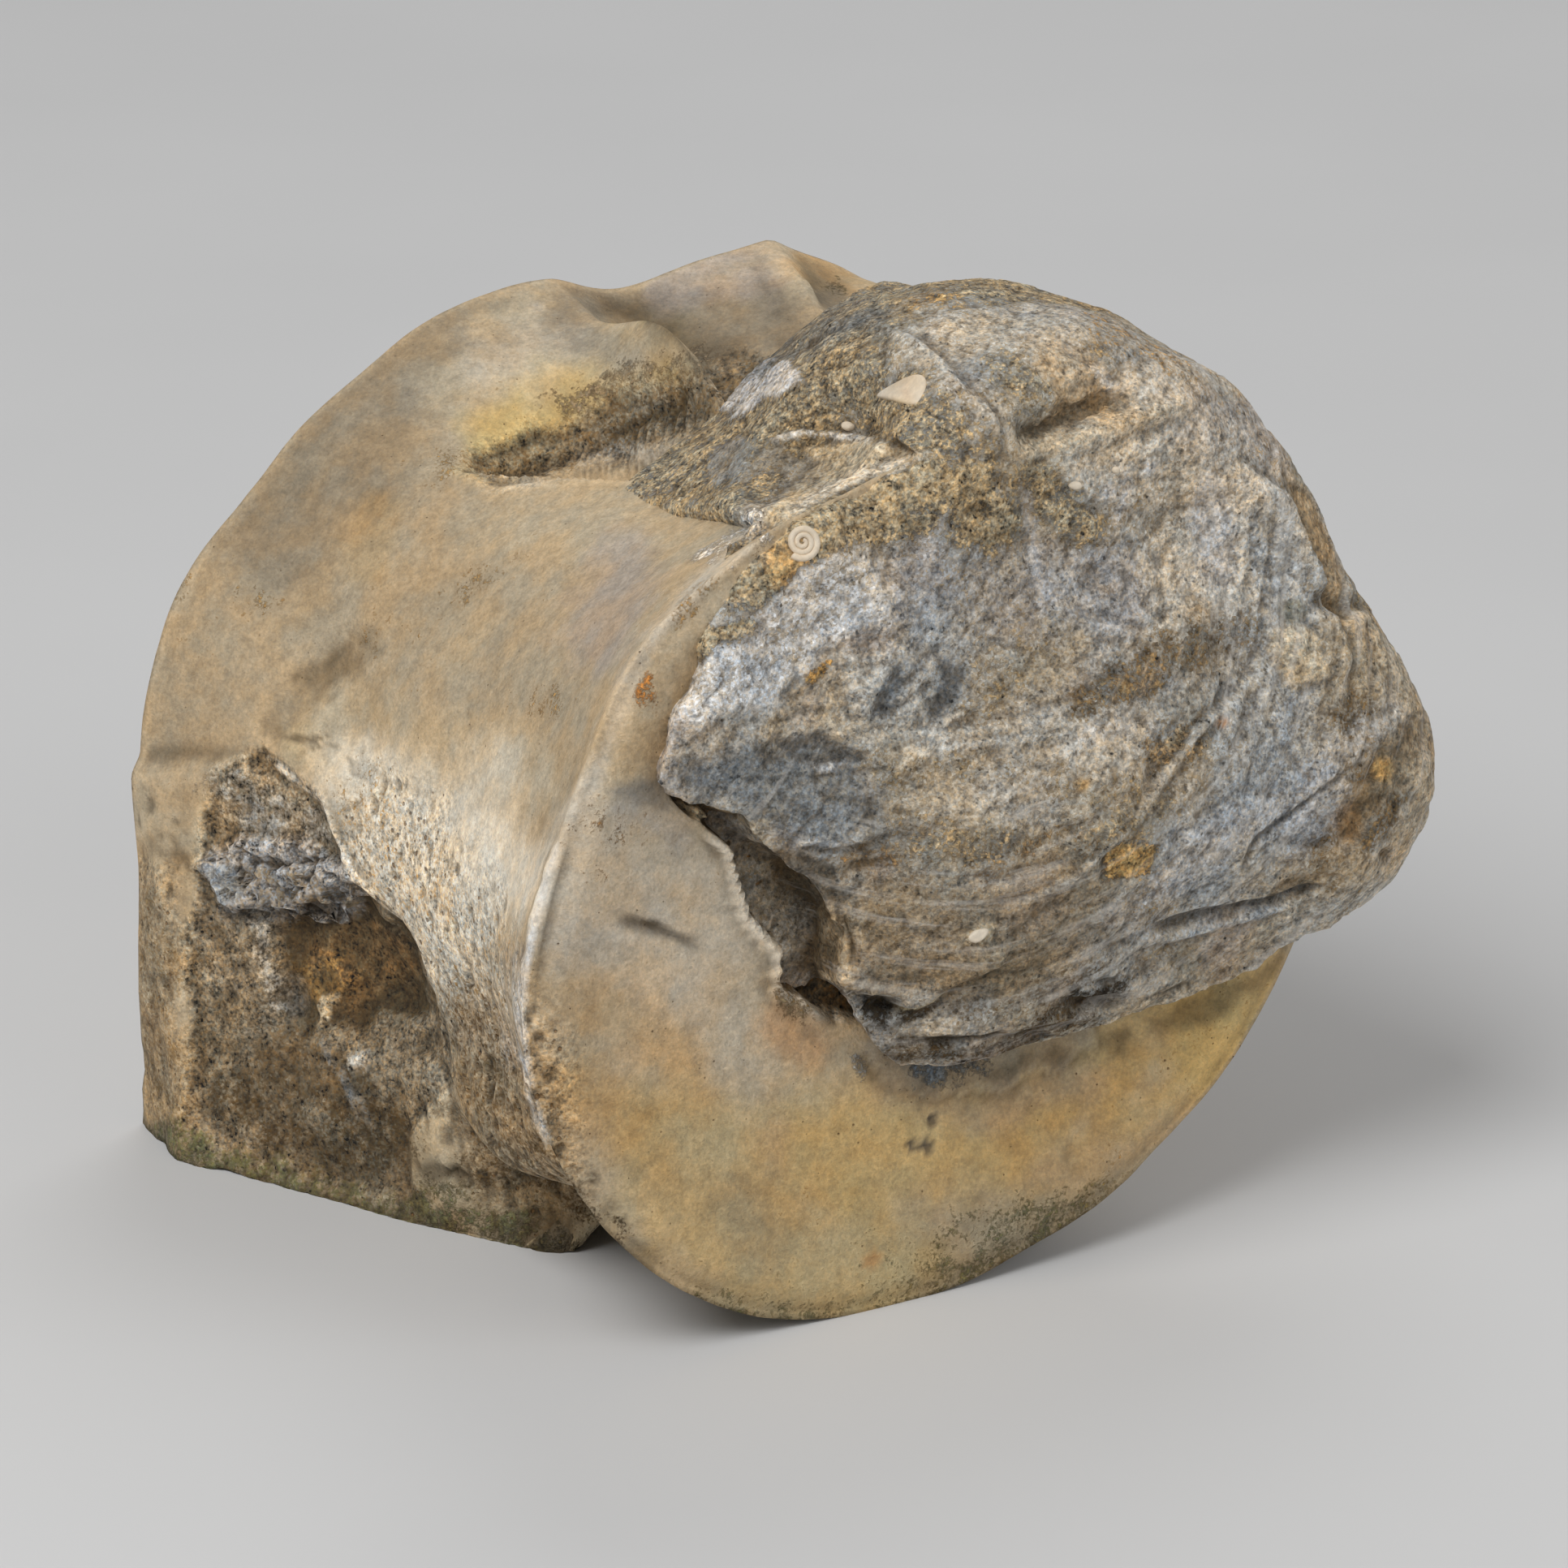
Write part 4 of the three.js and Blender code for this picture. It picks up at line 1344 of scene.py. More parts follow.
        area(((1055, 1285), (1085, 1332), (1150, 1352), (1230, 1338), (1300, 1312), (1350, 1290),
              (1350, 1240), (1100, 1240)), Tint.ASH, 0.6, 0.2, 8, 16),
        area(((1080, 1290), (1110, 1330), (1160, 1346), (1220, 1330), (1220, 1250), (1100, 1250)),
             Tint.SLATE, 0.6, 0, 14, 30, Lay.COAT),
        coat(((1090, 1330), (1150, 1352)), 14, Tint.SLATE, 0.55, 12),
        # Painted shadow along the foot of the rock's ledge.
        stain(LEDGE_FOOT_SHADOW, 8, Tint.UMBER, 0.6, 12),
    )

    def drum(self) -> bmesh.types.BMesh:
        """Spins the plain drum that the form then shapes.

        Returns:
            A closed drum of radius 1 and of the bone's length, its axis along z.
        """
        half = self.form.length / 2.0
        side = half - self.form.rim_round
        profile = [((i / self.rear_rings) ** 0.75, -half) for i in range(self.rear_rings)]
        profile += [(1.0, side * (2.0 * i / self.flank_rings - 1.0)) for i in range(self.flank_rings + 1)]
        profile += [((i / self.front_rings) ** 0.75, half) for i in range(self.front_rings - 1, -1, -1)]
        bm = bmesh.new()
        line = [bm.verts.new((radius, 0.0, station)) for radius, station in profile]
        chain = [bm.edges.new(pair) for pair in zip(line, line[1:])]
        bmesh.ops.spin(bm, geom=line + chain, axis=(0, 0, 1), cent=(0, 0, 0),
                       angle=2.0 * math.pi, steps=self.turns, use_merge=True)
        bmesh.ops.remove_doubles(bm, verts=bm.verts, dist=1e-5)
        return bm

    def shaped(self) -> bpy.types.Mesh:
        """Shapes the drum, with its columns closer together on the side that is seen.

        Returns:
            The bone's mesh before its relief, in metres in the frame.
        """
        bm = self.drum()
        at = np.array([v.co for v in bm.verts])
        radius, angle = np.hypot(at[:, 0], at[:, 1]), np.arctan2(at[:, 1], at[:, 0])
        angle = angle - self.closer * np.sin(angle - math.radians(self.seen_deg))
        at[:, 0], at[:, 1] = radius * np.cos(angle), radius * np.sin(angle)
        placed = LIE.to_frame(self.form.shape(at))
        placed[:, 2] = np.maximum(placed[:, 2], 0.0)
        for vert, place in zip(bm.verts, placed * MM):
            vert.co = place
        bmesh.ops.recalc_face_normals(bm, faces=bm.faces)
        mesh = bpy.data.meshes.new("vertebra_looks")
        bm.to_mesh(mesh)
        bm.free()
        return mesh

    def roughen(self, skin: Skin) -> None:
        """Gives the surface its weathering: gentle swells, and the torn bone of the facet.

        Args:
            skin: The bone's skin.
        """
        at = skin.at
        height = 0.14 * Noise(11).rough(at, 9.0, 3) + 0.05 * Noise(12).rough(at, 2.0, 2)
        facet, flakes = within(skin, RIB_FACET, 8, 6), within(skin, FLAKY, 12, 10)
        near, beyond, name = Noise(14).cells(at + 0.7 * Noise(19).rough(at, 2.4, 2)[:, None], 1.6)
        torn = 0.75 * Noise(13).rough(at, 5.0, 4) + 0.22 * Noise(16).rough(at, 1.6, 2)
        torn += flakes * (1.0 * (name - 0.3) - 0.7 * ramp(0.2, 0.0, beyond - near))
        groove = along(skin, ((560, 1240), (600, 1330), (640, 1420), (690, 1500)), 110, 44, 20)
        slope = along(skin, ((470, 1010), (540, 1130), (600, 1240)), 110, 50, 20)
        pit, _, depth = Noise(15).cells(at * np.array([1.0, 1.0, 0.7]), 1.15)
        worm = -ramp(0.55, 0.2, pit) * (0.75 * ramp(0.3, 0.7, depth) * groove
                                        + 0.30 * ramp(0.62, 0.9, depth) * slope)
        strip = along(skin, ((190, 1020), (190, 1200), (200, 1400), (300, 1450), (500, 1500)), 50, 24)
        crumbly = np.maximum(strip, ramp(9.0, 2.0, at[:, 2]) * ramp(28.0, 20.0, skin.local[:, 2]))
        crumble = 0.5 * Noise(17).rough(at, 2.8, 3) * np.maximum(crumbly, 0.5 * groove)
        crest = along(skin, ((690, 1030), (655, 1150), (640, 1250), (650, 1350), (690, 1450)), 10, 10, 4)
        beads = crest * (0.2 + 0.25 * Noise(18).soft(at, 1.2))
        skin.carve(height * (1.0 - facet) + torn * facet + (worm + crumble) * (1.0 - facet) + beads)

    def paint(self, skin: Skin) -> None:
        """Lays on the colours and the shares of sand, pores and streaks.

        Args:
            skin: The bone's skin, already carved.
        """
        at, x, y, q = skin.at, *skin.local.T
        wide, close = Noise(21).rough(at, 16.0, 4), Noise(22).rough(at, 5.0, 4)
        skin.soak(Tint.TAN, 0.35 * ramp(-0.1, 0.6, wide))
        skin.soak(Tint.CREAM, 0.35 * ramp(0.1, 0.6, Noise(23).rough(at, 7.0, 4)))
        skin.coat(Tint.OCHRE, 0.34 * ramp(0.1, 0.6, close))
        sole = ramp(10.0, 1.0, at[:, 2] + 4.0 * skin.uneven)
        skin.soak(Tint.MOSS, 0.3 * sole)
        skin.coat(Tint.MOSS, 0.5 * sole)
        unseen = ramp(0.15, -0.1, skin.facing)
        skin.coat(Tint.BROWN, 0.5 * unseen * ramp(0.0, 0.5, wide))
        skin.mark(self.marks)
        # Dirt and painted shade in the bone's hollows.
        skin.shade_and_dirt_in_hollows(Tint.UMBER, 0.55, 0.16)
        facet, fold = within(skin, RIB_FACET, 10, 8), within(skin, SANDY_FOLD, 24, 20)
        trench = within(skin, TRENCH, 10, 10)
        groove = along(skin, ((480, 1040), (560, 1180), (610, 1320), (650, 1430)), 130, 50)
        strip = along(skin, ((190, 1100), (196, 1360), (300, 1440), (500, 1495)), 60, 24)
        face = ramp(27.0, 29.0, q)
        skin.finish[:, 0] = np.clip(1.1 * facet + fold + trench + 0.5 * strip + 0.6 * groove + 0.16, 0, 1.2)
        skin.finish[:, 1] = np.clip(0.25 + 0.7 * groove + 0.5 * strip + 0.2 * face * ramp(0.0, 0.4, close)
                                    - facet - trench, 0, 1)
        skin.finish[:, 2] = 0.16 * (1.0 - 0.5 * face) * (1.0 - facet) * (1.0 - fold)
        deg = (np.degrees(np.arctan2(y, x)) + 90.0) % 360.0
        skin.flow = np.stack([0.55 * deg + 0.25 * q, 0.10 * q, np.zeros(len(at))], axis=1)

    def build(self) -> bpy.types.Object:
        """Makes the bone in place of its solid.

        Returns:
            The finished bone.
        """
        skin = Skin(self.shaped(), Tint.BUFF)
        self.roughen(skin)
        self.paint(skin)
        skin.store()
        piece = finish_piece(skin.mesh, "vertebra_looks", self.finish.build())
        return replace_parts(piece, "vertebra")


# ---- The rock ------------------------------------------------------------------------------

TONGUE = ((936, 642), (979, 606), (1018, 573), (992, 554), (1070, 545), (1148, 560), (1113, 576),
          (1053, 595), (1005, 618), (962, 652))


@dataclass
class RockCrust:
    """The lump of layered shelly rock cemented over the front end."""

    form: RockForm = RockForm()
    fineness: int = 7
    voxel_mm: float = 0.42
    chips_mm: float = 0.7
    hinge_mm: tuple[float, float] = (1.0, 24.0)
    finish: StoneFinish = (
        StoneFinish("sandy_rock", 0.84, 0.19, 0.06, 0.42, 1.0, Tint.SLATE, Tint.CHALK, 0.42, 0.24))
    marks: tuple[Mark, ...] = (
        # Sandy ground: under the tongue, over the dome's back and in bands between the shell layers.
        coat(((900, 720), (960, 680), (1040, 635), (1120, 625), (1220, 640)), 70, Tint.SAND, 0.85, 34),
        coat(((1000, 620), (1100, 590), (1200, 600)), 60, Tint.SAND, 0.9, 30),
        coat(((1280, 600), (1340, 640), (1420, 620)), 80, Tint.SAND, 0.7, 34),
        coat(((870, 800), (915, 790), (950, 800)), 44, Tint.SAND, 0.9, 18),
        coat(((960, 700), (985, 705)), 30, Tint.OCHRE, 0.6, 14),
        coat(((1060, 440), (1100, 480), (1150, 520), (1120, 560)), 110, Tint.SAND, 0.65, 40),
        stain(((1150, 420), (1260, 470), (1380, 520)), 110, Tint.PALE, 0.4, 60),
        coat(((1240, 460), (1300, 500), (1350, 460)), 70, Tint.SAND, 0.5, 40),
        coat(((1420, 430), (1500, 500), (1540, 580)), 60, Tint.TAN, 0.4, 40),
        stain(((1380, 560), (1460, 620), (1500, 700)), 130, Tint.PALE, 0.6, 60),
        stain(((1430, 480), (1500, 540), (1560, 640)), 60, Tint.PALE, 0.35, 40),
        coat(((1339, 868), (1438, 810), (1533, 778)), 50, Tint.BROWN, 0.6, 36),
        coat(((1390, 942), (1440, 920), (1493, 888)), 24, Tint.TAN, 0.7, 18),
        coat(((1060, 960), (1160, 945), (1290, 960), (1380, 980)), 50, Tint.SAND, 0.5, 30),
        coat(((1050, 1060), (1160, 1040), (1280, 1060), (1330, 1030)), 60, Tint.SAND, 0.5, 40),
        coat(((1080, 1140), (1200, 1150), (1330, 1110)), 110, Tint.BROWN, 0.52, 40),
        coat(((1060, 1100), (1100, 1200), (1240, 1190)), 80, Tint.BROWN, 0.45, 50),
        coat(((1660, 900), (1700, 980), (1640, 1060)), 80, Tint.BROWN, 0.65, 40),
        coat(((1040, 1130), (1090, 1210), (1200, 1230), (1340, 1200)), 50, Tint.UMBER, 0.42, 40),
        coat(((1040, 1080), (1200, 1110), (1320, 1060)), 60, Tint.RUST, 0.34, 40),
        coat(((1180, 720), (1260, 780), (1200, 840)), 90, Tint.SAND, 0.42, 50),
        stain(((1080, 1150), (1200, 1160), (1320, 1120)), 120, Tint.DRAB, 0.7),
        # Pale grey shell: the chalky band on the left, smooth plates, light bars under the far rim.
        area(((821, 872), (869, 813), (945, 785), (1007, 699), (1062, 689), (1086, 734), (1041, 772),
              (993, 813), (938, 868), (869, 890)), Tint.CHALK, 0.95, 0.15, 22, 26),
        stain(((850, 850), (930, 830), (1000, 750), (1050, 710)), 40, Tint.CHALK, 0.6, 30),
        coat(((850, 850), (930, 830), (1000, 750), (1050, 710)), 50, Tint.GREY, 0.36, 30),
        stain(((1150, 760), (1260, 740), (1350, 720)), 90, Tint.BLUE, 0.5, 50),
        stain(((1490, 610), (1500, 700)), 36, Tint.MIST, 0.65, 14, 12),
        stain(((1390, 568), (1386, 611), (1370, 660)), 10, Tint.MIST, 0.7, 10, 6),
        stain(((1260, 580), (1276, 679), (1291, 750)), 12, Tint.MIST, 0.65, 12, 8),
        stain(((1367, 607),), 18, Tint.MIST, 0.7, 6, 6),
        stain(((1418, 576),), 16, Tint.MIST, 0.7, 6, 6),
        stain(((1560, 640), (1575, 740)), 36, Tint.BLUE, 0.7, 18),
        stain(((1560, 850), (1600, 960), (1500, 1060)), 110, Tint.BLUE, 0.7, 50),
        stain(((1400, 1120), (1500, 1040), (1600, 980), (1690, 900)), 30, Tint.MIST, 0.5, 26),
        stain(((1310, 920), (1400, 880)), 26, Tint.MIST, 0.5, 18),
        stain(((1150, 930), (1250, 950), (1350, 930)), 90, Tint.PALE, 0.35, 50),
        stain(((1130, 600), (1160, 640), (1150, 700)), 26, Tint.GREY, 0.5, 20),
        # Slate blue at the left tip, and in the dents, where it is partly painted shade on their sides.
        area(((800, 964), (920, 915), (993, 925), (1070, 985), (1085, 1026), (1010, 1045), (955, 1038),
              (914, 992), (821, 978)), Tint.SLATE, 0.72, 0, 26, 20),
        area(((960, 915), (1010, 905), (1060, 935), (1014, 948), (986, 938)), Tint.SLATE, 0.75, -0.3, 12, 12),
        Mark(((1070, 902), (1094, 866), (1128, 812)), 14, Tint.SLATE, 0.85, -0.45, 12, 16),
        Mark(((1136, 908), (1160, 865), (1192, 806)), 22, Tint.SLATE, 0.85, -0.45, 14, 18),
        vein(((1093, 878), (1125, 845), (1158, 812)), 5, Tint.GREY, 0.3),
        coat(((1120, 850), (1146, 826)), 14, Tint.BROWN, 0.6, 10),
        stain(((1090, 888), (1115, 897)), 10, Tint.SLATE, 0.7, 8, 6),
        stain(((880, 820), (905, 830)), 4, Tint.ASH, 0.4, 10, 6),
        # Iron stains.
        coat(((884, 735), (900, 745), (912, 728)), 14, Tint.ORANGE, 0.7, 12),
        coat(((828, 812), (815, 850), (806, 880)), 10, Tint.ORANGE, 0.7, 10),
        coat(((1034, 799), (1010, 830), (979, 854)), 12, Tint.OCHRE, 0.75, 8, 14),
        coat(((1043, 770), (1030, 785)), 12, Tint.ORANGE, 0.7, 6, 8),
        coat(((1096, 733), (1108, 742)), 8, Tint.RUST, 0.75, 5, 6),
        area(((1355, 1050), (1380, 1040), (1426, 1048), (1420, 1075), (1385, 1088), (1358, 1085)),
             Tint.OCHRE, 0.85, -0.2, 8, 12, Lay.COAT),
        area(((1355, 1055), (1366, 1050), (1366, 1082), (1358, 1080)), Tint.UMBER, 0.7, -0.2, 5, 5),
        coat(((1200, 1068), (1216, 1060), (1225, 1078)), 20, Tint.OCHRE, 0.7, 8),
        stain(((1507, 890),), 10, Tint.ORANGE, 0.9, 4, 4),
        stain(((1335, 967),), 16, Tint.OCHRE, 0.8, 6, 8),
        stain(((1340, 728), (1400, 722)), 6, Tint.OCHRE, 0.6, 8, 6),
        stain(((1450, 742), (1530, 760)), 14, Tint.OCHRE, 0.4, 12),
        # The far tip: brown hollows between grey bars.
        area(((1707, 908), (1742, 886), (1760, 900), (1730, 958), (1699, 998), (1675, 1037), (1648, 1031)),
             Tint.BROWN, 0.8, -0.3, 14, 14),
        stain(((1706, 948),), 20, Tint.OCHRE, 0.9, 6, 8),
        stain(((1671, 1026), (1660, 1010)), 30, Tint.RUST, 0.45, 14),
        slot(((1705, 1053),), 12, -0.3, Tint.UMBER),
        stain(((1720, 1060), (1760, 980), (1760, 900)), 30, Tint.BUFF, 0.7, 20),
        stain(((1600, 1095), (1680, 1060)), 40, Tint.BUFF, 0.5, 20),
        area(((1564, 1100), (1596, 1082), (1640, 1078), (1600, 1106), (1568, 1114)), Tint.BROWN, 0.7, -0.2,
             8, 8),
        # Cream shell in the front layer's edge, and the tan rim behind it.
        area(((1560, 774), (1584, 778), (1620, 793), (1628, 829), (1596, 845), (1568, 813)), Tint.CREAM, 0.85,
             0.3, 8, 12),
        stain(((1588, 752),), 24, Tint.MOSS, 0.6, 8, 8),
        step(((1655, 850), (1661, 813), (1655, 781), (1635, 730), (1620, 690), (1584, 611), (1517, 560)),
             90, 0.9, Tint.GREY, 0.3),
        area(((1584, 585), (1622, 611), (1645, 655), (1662, 740), (1655, 770), (1635, 715), (1606, 650)),
             Tint.TAN, 0.9, -0.3, 6, 4),
        area(((1667, 746), (1699, 762), (1745, 817), (1770, 870), (1745, 880), (1710, 840), (1675, 800)),
             Tint.BUFF, 0.85, 0, 12, 8),
        Mark(((1600, 735), (1664, 744), (1700, 742)), 14, None, 0, -1.2, 14, 4),
        # The folds and shell edges of the top.
        step(((1239, 543), (1222, 516), (1183, 473), (1131, 425), (1092, 408)), 80, 0.9, Tint.BUFF, 0.2),
        vein(((1092, 408), (1131, 425), (1183, 473), (1222, 516), (1239, 543)), 7, Tint.GREY, 0.3),
        stain(((1105, 405), (1160, 430), (1215, 480)), 14, Tint.SLATE, 0.5, 12),
        Mark(((1244, 545), (1287, 534), (1330, 508), (1400, 478)), 22, Tint.BROWN, 0.75, -1.7, 30, 8),
        Mark(((1240, 562), (1322, 542), (1400, 514), (1480, 492)), 12, Tint.BUFF, 0.85, 0.7, 16, 6),
        stain(((1310, 450), (1380, 500), (1330, 480)), 40, Tint.TAN, 0.7, 20),
        vein(((1328, 446), (1365, 464), (1397, 484)), 5),
        step(((1397, 484), (1365, 464), (1328, 446), (1290, 430)), 50, 0.5),
        vein(((1206, 885), (1213, 930), (1189, 951)), 5, Tint.BUFF, 0.3),
        # The tongue of bone-coloured shell and the pieces in the sand above it.
        area(TONGUE, Tint.CREAM, 0.9, 0.25, 12, 6),
        stain(((960, 642), (1005, 612), (1053, 590), (1113, 572), (1146, 561)), 8, Tint.PALE, 0.8, 8, 4),
        vein(((936, 546), (992, 534), (1040, 538), (1084, 546)), 6, Tint.CHALK, 0.3),
        stain(((900, 580), (960, 570), (1000, 590)), 40, Tint.ASH, 0.6, 20),
        coat(((900, 660), (930, 640), (960, 650)), 20, Tint.CHALK, 0.6, 14),
        # Flakes and dark crumble along the upper left border.
        area(((884, 500), (905, 470), (940, 448), (976, 446), (990, 470), (950, 490), (900, 512)), Tint.MIST,
             0.85, 0.3, 8, 12),
        coat(((900, 470), (960, 430), (1020, 400), (1080, 395)), 30, Tint.SLATE, 0.6, 20),
        coat(((950, 430), (1010, 410)), 24, Tint.SHADE_BLACK, 0.55, 14),
        slot(((870, 500), (900, 480), (930, 455)), 6, -0.5, Tint.UMBER),
        slot(((960, 440), (1000, 420), (1030, 410)), 6, -0.4, Tint.UMBER),
        stain(((861, 500), (889, 508)), 20, Tint.LILAC, 0.7, 10),
        coat(((1113, 382), (1150, 366), (1200, 370)), 20, Tint.OCHRE, 0.65, 12),
        stain(((1180, 380), (1215, 362)), 10, Tint.SLATE, 0.7, 8),
        stain(((1225, 385), (1300, 392)), 16, Tint.BLUE, 0.7, 14),
        coat(((1350, 400), (1420, 430), (1470, 450)), 30, Tint.OCHRE, 0.4, 20),
        # Edges of the stacked shell layers low on the front.
        step(((1398, 1015), (1430, 963), (1477, 900), (1533, 845), (1556, 793)), 90, -0.5),
        vein(((1400, 1010), (1430, 963), (1477, 900), (1533, 845)), 4, Tint.GREY, 0.25),
        step(((986, 938), (1014, 948), (1055, 940), (1150, 905), (1250, 885), (1340, 855), (1420, 805)),
             60, -0.3),
        vein(((990, 937), (1014, 948), (1055, 940)), 4),
        vein(((1060, 912), (1086, 924)), 3),
        step(((969, 1036), (1013, 1038), (1062, 1035), (1120, 1020)), 70, 0.5),
        vein(((969, 1036), (1013, 1038), (1062, 1035)), 4),
        vein(((1144, 925), (1248, 908), (1337, 909)), 4, Tint.GREY, 0.3),
        slot(((1020, 1075), (1060, 1064), (1105, 1060)), 3, -0.25, Tint.UMBER),
        step(((1016, 1232), (1070, 1240), (1128, 1238), (1190, 1205), (1260, 1180)), 70, 0.8),
        slot(((1010, 1222), (1060, 1238), (1120, 1236)), 16, -1.4),
        vein(((1085, 1246), (1128, 1240), (1170, 1222)), 5, Tint.STRAW, 0.3),
        step(((1128, 1284), (1206, 1278), (1285, 1262), (1392, 1240), (1477, 1207)), 50, 0.6),
        slot(((1120, 1284), (1160, 1282), (1206, 1278), (1250, 1268)), 9, -0.9),
        slot(((1300, 1240), (1350, 1238), (1395, 1230)), 16, -1.4),
        # Near-black coats under the layer edges: painted shade.
        coat(((1290, 1230), (1350, 1222), (1410, 1222)), 26, Tint.SHADE_BLACK, 0.6, 18),
        coat(((1110, 1290), (1200, 1290), (1280, 1275)), 30, Tint.SHADE_BLACK, 0.62, 20),
        coat(((1040, 1245), (1110, 1255), (1180, 1230)), 22, Tint.SHADE_BLACK, 0.62, 18),
        slot(((1338, 1211), (1386, 1209)), 7, -0.7),
        slot(((1400, 1232), (1480, 1205)), 5, -0.5, Tint.UMBER),
        slot(((1250, 1272), (1320, 1284)), 4, -0.4, Tint.SLATE),
        slot(((1114, 1328), (1140, 1338), (1165, 1336)), 14, -1.0),
        slot(((1406, 1150), (1477, 1127), (1568, 1111), (1643, 1087)), 5, -0.5, Tint.SLATE),
        vein(((1406, 1163), (1500, 1140), (1600, 1112)), 5, Tint.BLUE, 0.3),
        vein(((1525, 1082), (1548, 1035), (1596, 999), (1675, 940)), 4, Tint.SLATE, -0.3),
        vein(((1240, 1120), (1320, 1085), (1400, 1015)), 5, Tint.GREY, 0.3),
        stain(((1100, 1200), (1200, 1200), (1300, 1180)), 40, Tint.BROWN, 0.6, 26),
        stain(((1090, 1290), (1170, 1300), (1260, 1280)), 40, Tint.UMBER, 0.4, 22),
        coat(((1090, 1300), (1200, 1300), (1340, 1250)), 30, Tint.UMBER, 0.5, 18),
        area(((1188, 1156), (1200, 1142), (1225, 1140), (1212, 1160)), Tint.CREAM, 0.85, 0.3, 5, 5),
        area(((1010, 1118), (1024, 1110), (1040, 1160), (1046, 1206), (1014, 1208), (1004, 1180)), Tint.BUFF,
             0.9, 0.2, 5, 6),
        slot(((1030, 1112), (1048, 1160), (1050, 1200)), 6, -0.6, Tint.UMBER),
        # Painted shadow in the cavity under the ledge.
        stain(((960, 1050), (1010, 1110), (1010, 1180)), 30, Tint.UMBER, 0.8, 10),
    )

    def bare_block(self) -> bpy.types.Mesh:
        """Makes the block that is broken away.

        Returns:
            Everything past a chipped line on the front face, in bone millimetres.
        """
        form = self.form
        bm = bmesh.new()
        corners = [bm.verts.new((x, y, form.edge_from)) for x, y in form.edge + form.bare_corners]
        outline = [bm.edges.new(pair) for pair in zip(corners, corners[1:] + corners[:1])]
        bmesh.ops.subdivide_edges(bm, edges=outline, cuts=6)
        for vert in bm.verts:
            at = np.array([vert.co])
            chip = [Noise(seed).rough(at, 2.6, 3)[0] for seed in (31, 32)]
            vert.co += Vector((*chip, 0.0)) * self.chips_mm
        bmesh.ops.triangle_fill(bm, edges=bm.edges[:], use_beauty=True)
        whole = bm.verts[:] + bm.edges[:] + bm.faces[:]
        rise = bmesh.ops.extrude_face_region(bm, geom=whole, use_keep_orig=True)
        raised = [v for v in rise["geom"] if isinstance(v, bmesh.types.BMVert)]
        bmesh.ops.translate(bm, verts=raised, vec=(0, 0, form.edge_to - form.edge_from))
        bmesh.ops.recalc_face_normals(bm, faces=bm.faces)
        mesh = bpy.data.meshes.new("bare_block")
        bm.to_mesh(mesh)
        bm.free()
        return mesh

    def shaped(self) -> bpy.types.Mesh:
        """Shapes a ball into the rock and breaks its lower left away.

        Returns:
            The rock's mesh before its relief, evenly fine all over, in metres in the frame.
        """
        bm = bmesh.new()
        bmesh.ops.create_icosphere(bm, subdivisions=self.fineness, radius=1.0)
        ball = np.array([v.co for v in bm.verts])
        for vert, place in zip(bm.verts, self.form.shape(ball)):
            vert.co = place
        bmesh.ops.recalc_face_normals(bm, faces=bm.faces)
        mesh = bpy.data.meshes.new("rock_looks")
        bm.to_mesh(mesh)
        bm.free()
        block = bpy.data.objects.new("bare_block", self.bare_block())
        bpy.context.collection.objects.link(block)
        mesh = applied(mesh, "BOOLEAN", operation="DIFFERENCE", object=block, solver="EXACT")
        bpy.data.objects.remove(block)
        mesh = applied(mesh, "REMESH", mode="VOXEL", voxel_size=self.voxel_mm)
        local = np.empty(len(mesh.vertices) * 3)
        mesh.vertices.foreach_get("co", local)
        placed = LIE.to_frame(local.reshape(-1, 3))
        placed[:, 2] = np.maximum(placed[:, 2], 0.0)
        mesh.vertices.foreach_set("co", (placed * MM).ravel())
        mesh.update()
        return mesh

    def undercut(self, skin: Skin) -> None:
        """Hollows the foot of the broken ledge, where it overhangs the bone.

        Args:
            skin: The rock's skin.
        """
        x, y, q = skin.local.T
        away = Mark(self.form.edge[7:-3]).measure(skin.local[:, :2])[0]
        bite = ramp(2.2, 0.6, away) * ramp(33.0, 29.5, q) * (0.8 + 0.8 * Noise(33).rough(skin.at, 5.0, 3))
        inward = np.array(self.form.heart) - skin.local
        inward[:, 2] = 0.0
        inward /= np.linalg.norm(inward, axis=1, keepdims=True)
        skin.move((1.5 * bite[:, None] * inward) @ LIE.axes())

    def roughen(self, skin: Skin) -> None:
        """Gives the surface its layers, growth ridges, flakes and sandy crumble.

        Args:
            skin: The rock's skin.
        """
        at, x, y, q = skin.at, *skin.local.T
        from_hinge = np.hypot(x - self.hinge_mm[0], y - self.hinge_mm[1])
        front = ramp(22.0, 27.0, q)
        low = ramp(16.0, 26.0, from_hinge) * ramp(14.0, 2.0, y - 0.5 * x)
        wander = 3.2 * Noise(34).rough(at, 22.0, 3)
        layer = np.mod((from_hinge + wander) / 2.3, 1.0)
        uneven = ramp(-0.4, 0.5, Noise(38).rough(at, 9.0, 2))
        height = 0.20 * (ramp(0.0, 0.85, layer) - ramp(0.85, 1.0, layer) - 0.5) * low * front * uneven
        height += 0.42 * Noise(35).rough(at, 7.0, 5) + 0.16 * Noise(36).rough(at, 1.7, 2)
        height -= 0.13 * ramp(0.10, 0.0, np.abs(Noise(39).rough(at * np.array([0.6, 1.0, 1.2]), 9.0, 4)))
        height *= 1.0 - 0.85 * within(skin, TONGUE, 14, 4)
        near, beyond, flake = Noise(37).cells(at * np.array([1.0, 1.0, 1.6]), 3.6)
        height += 0.16 * (flake - 0.5) - 0.10 * ramp(0.10, 0.0, beyond - near)
        skin.carve(height)

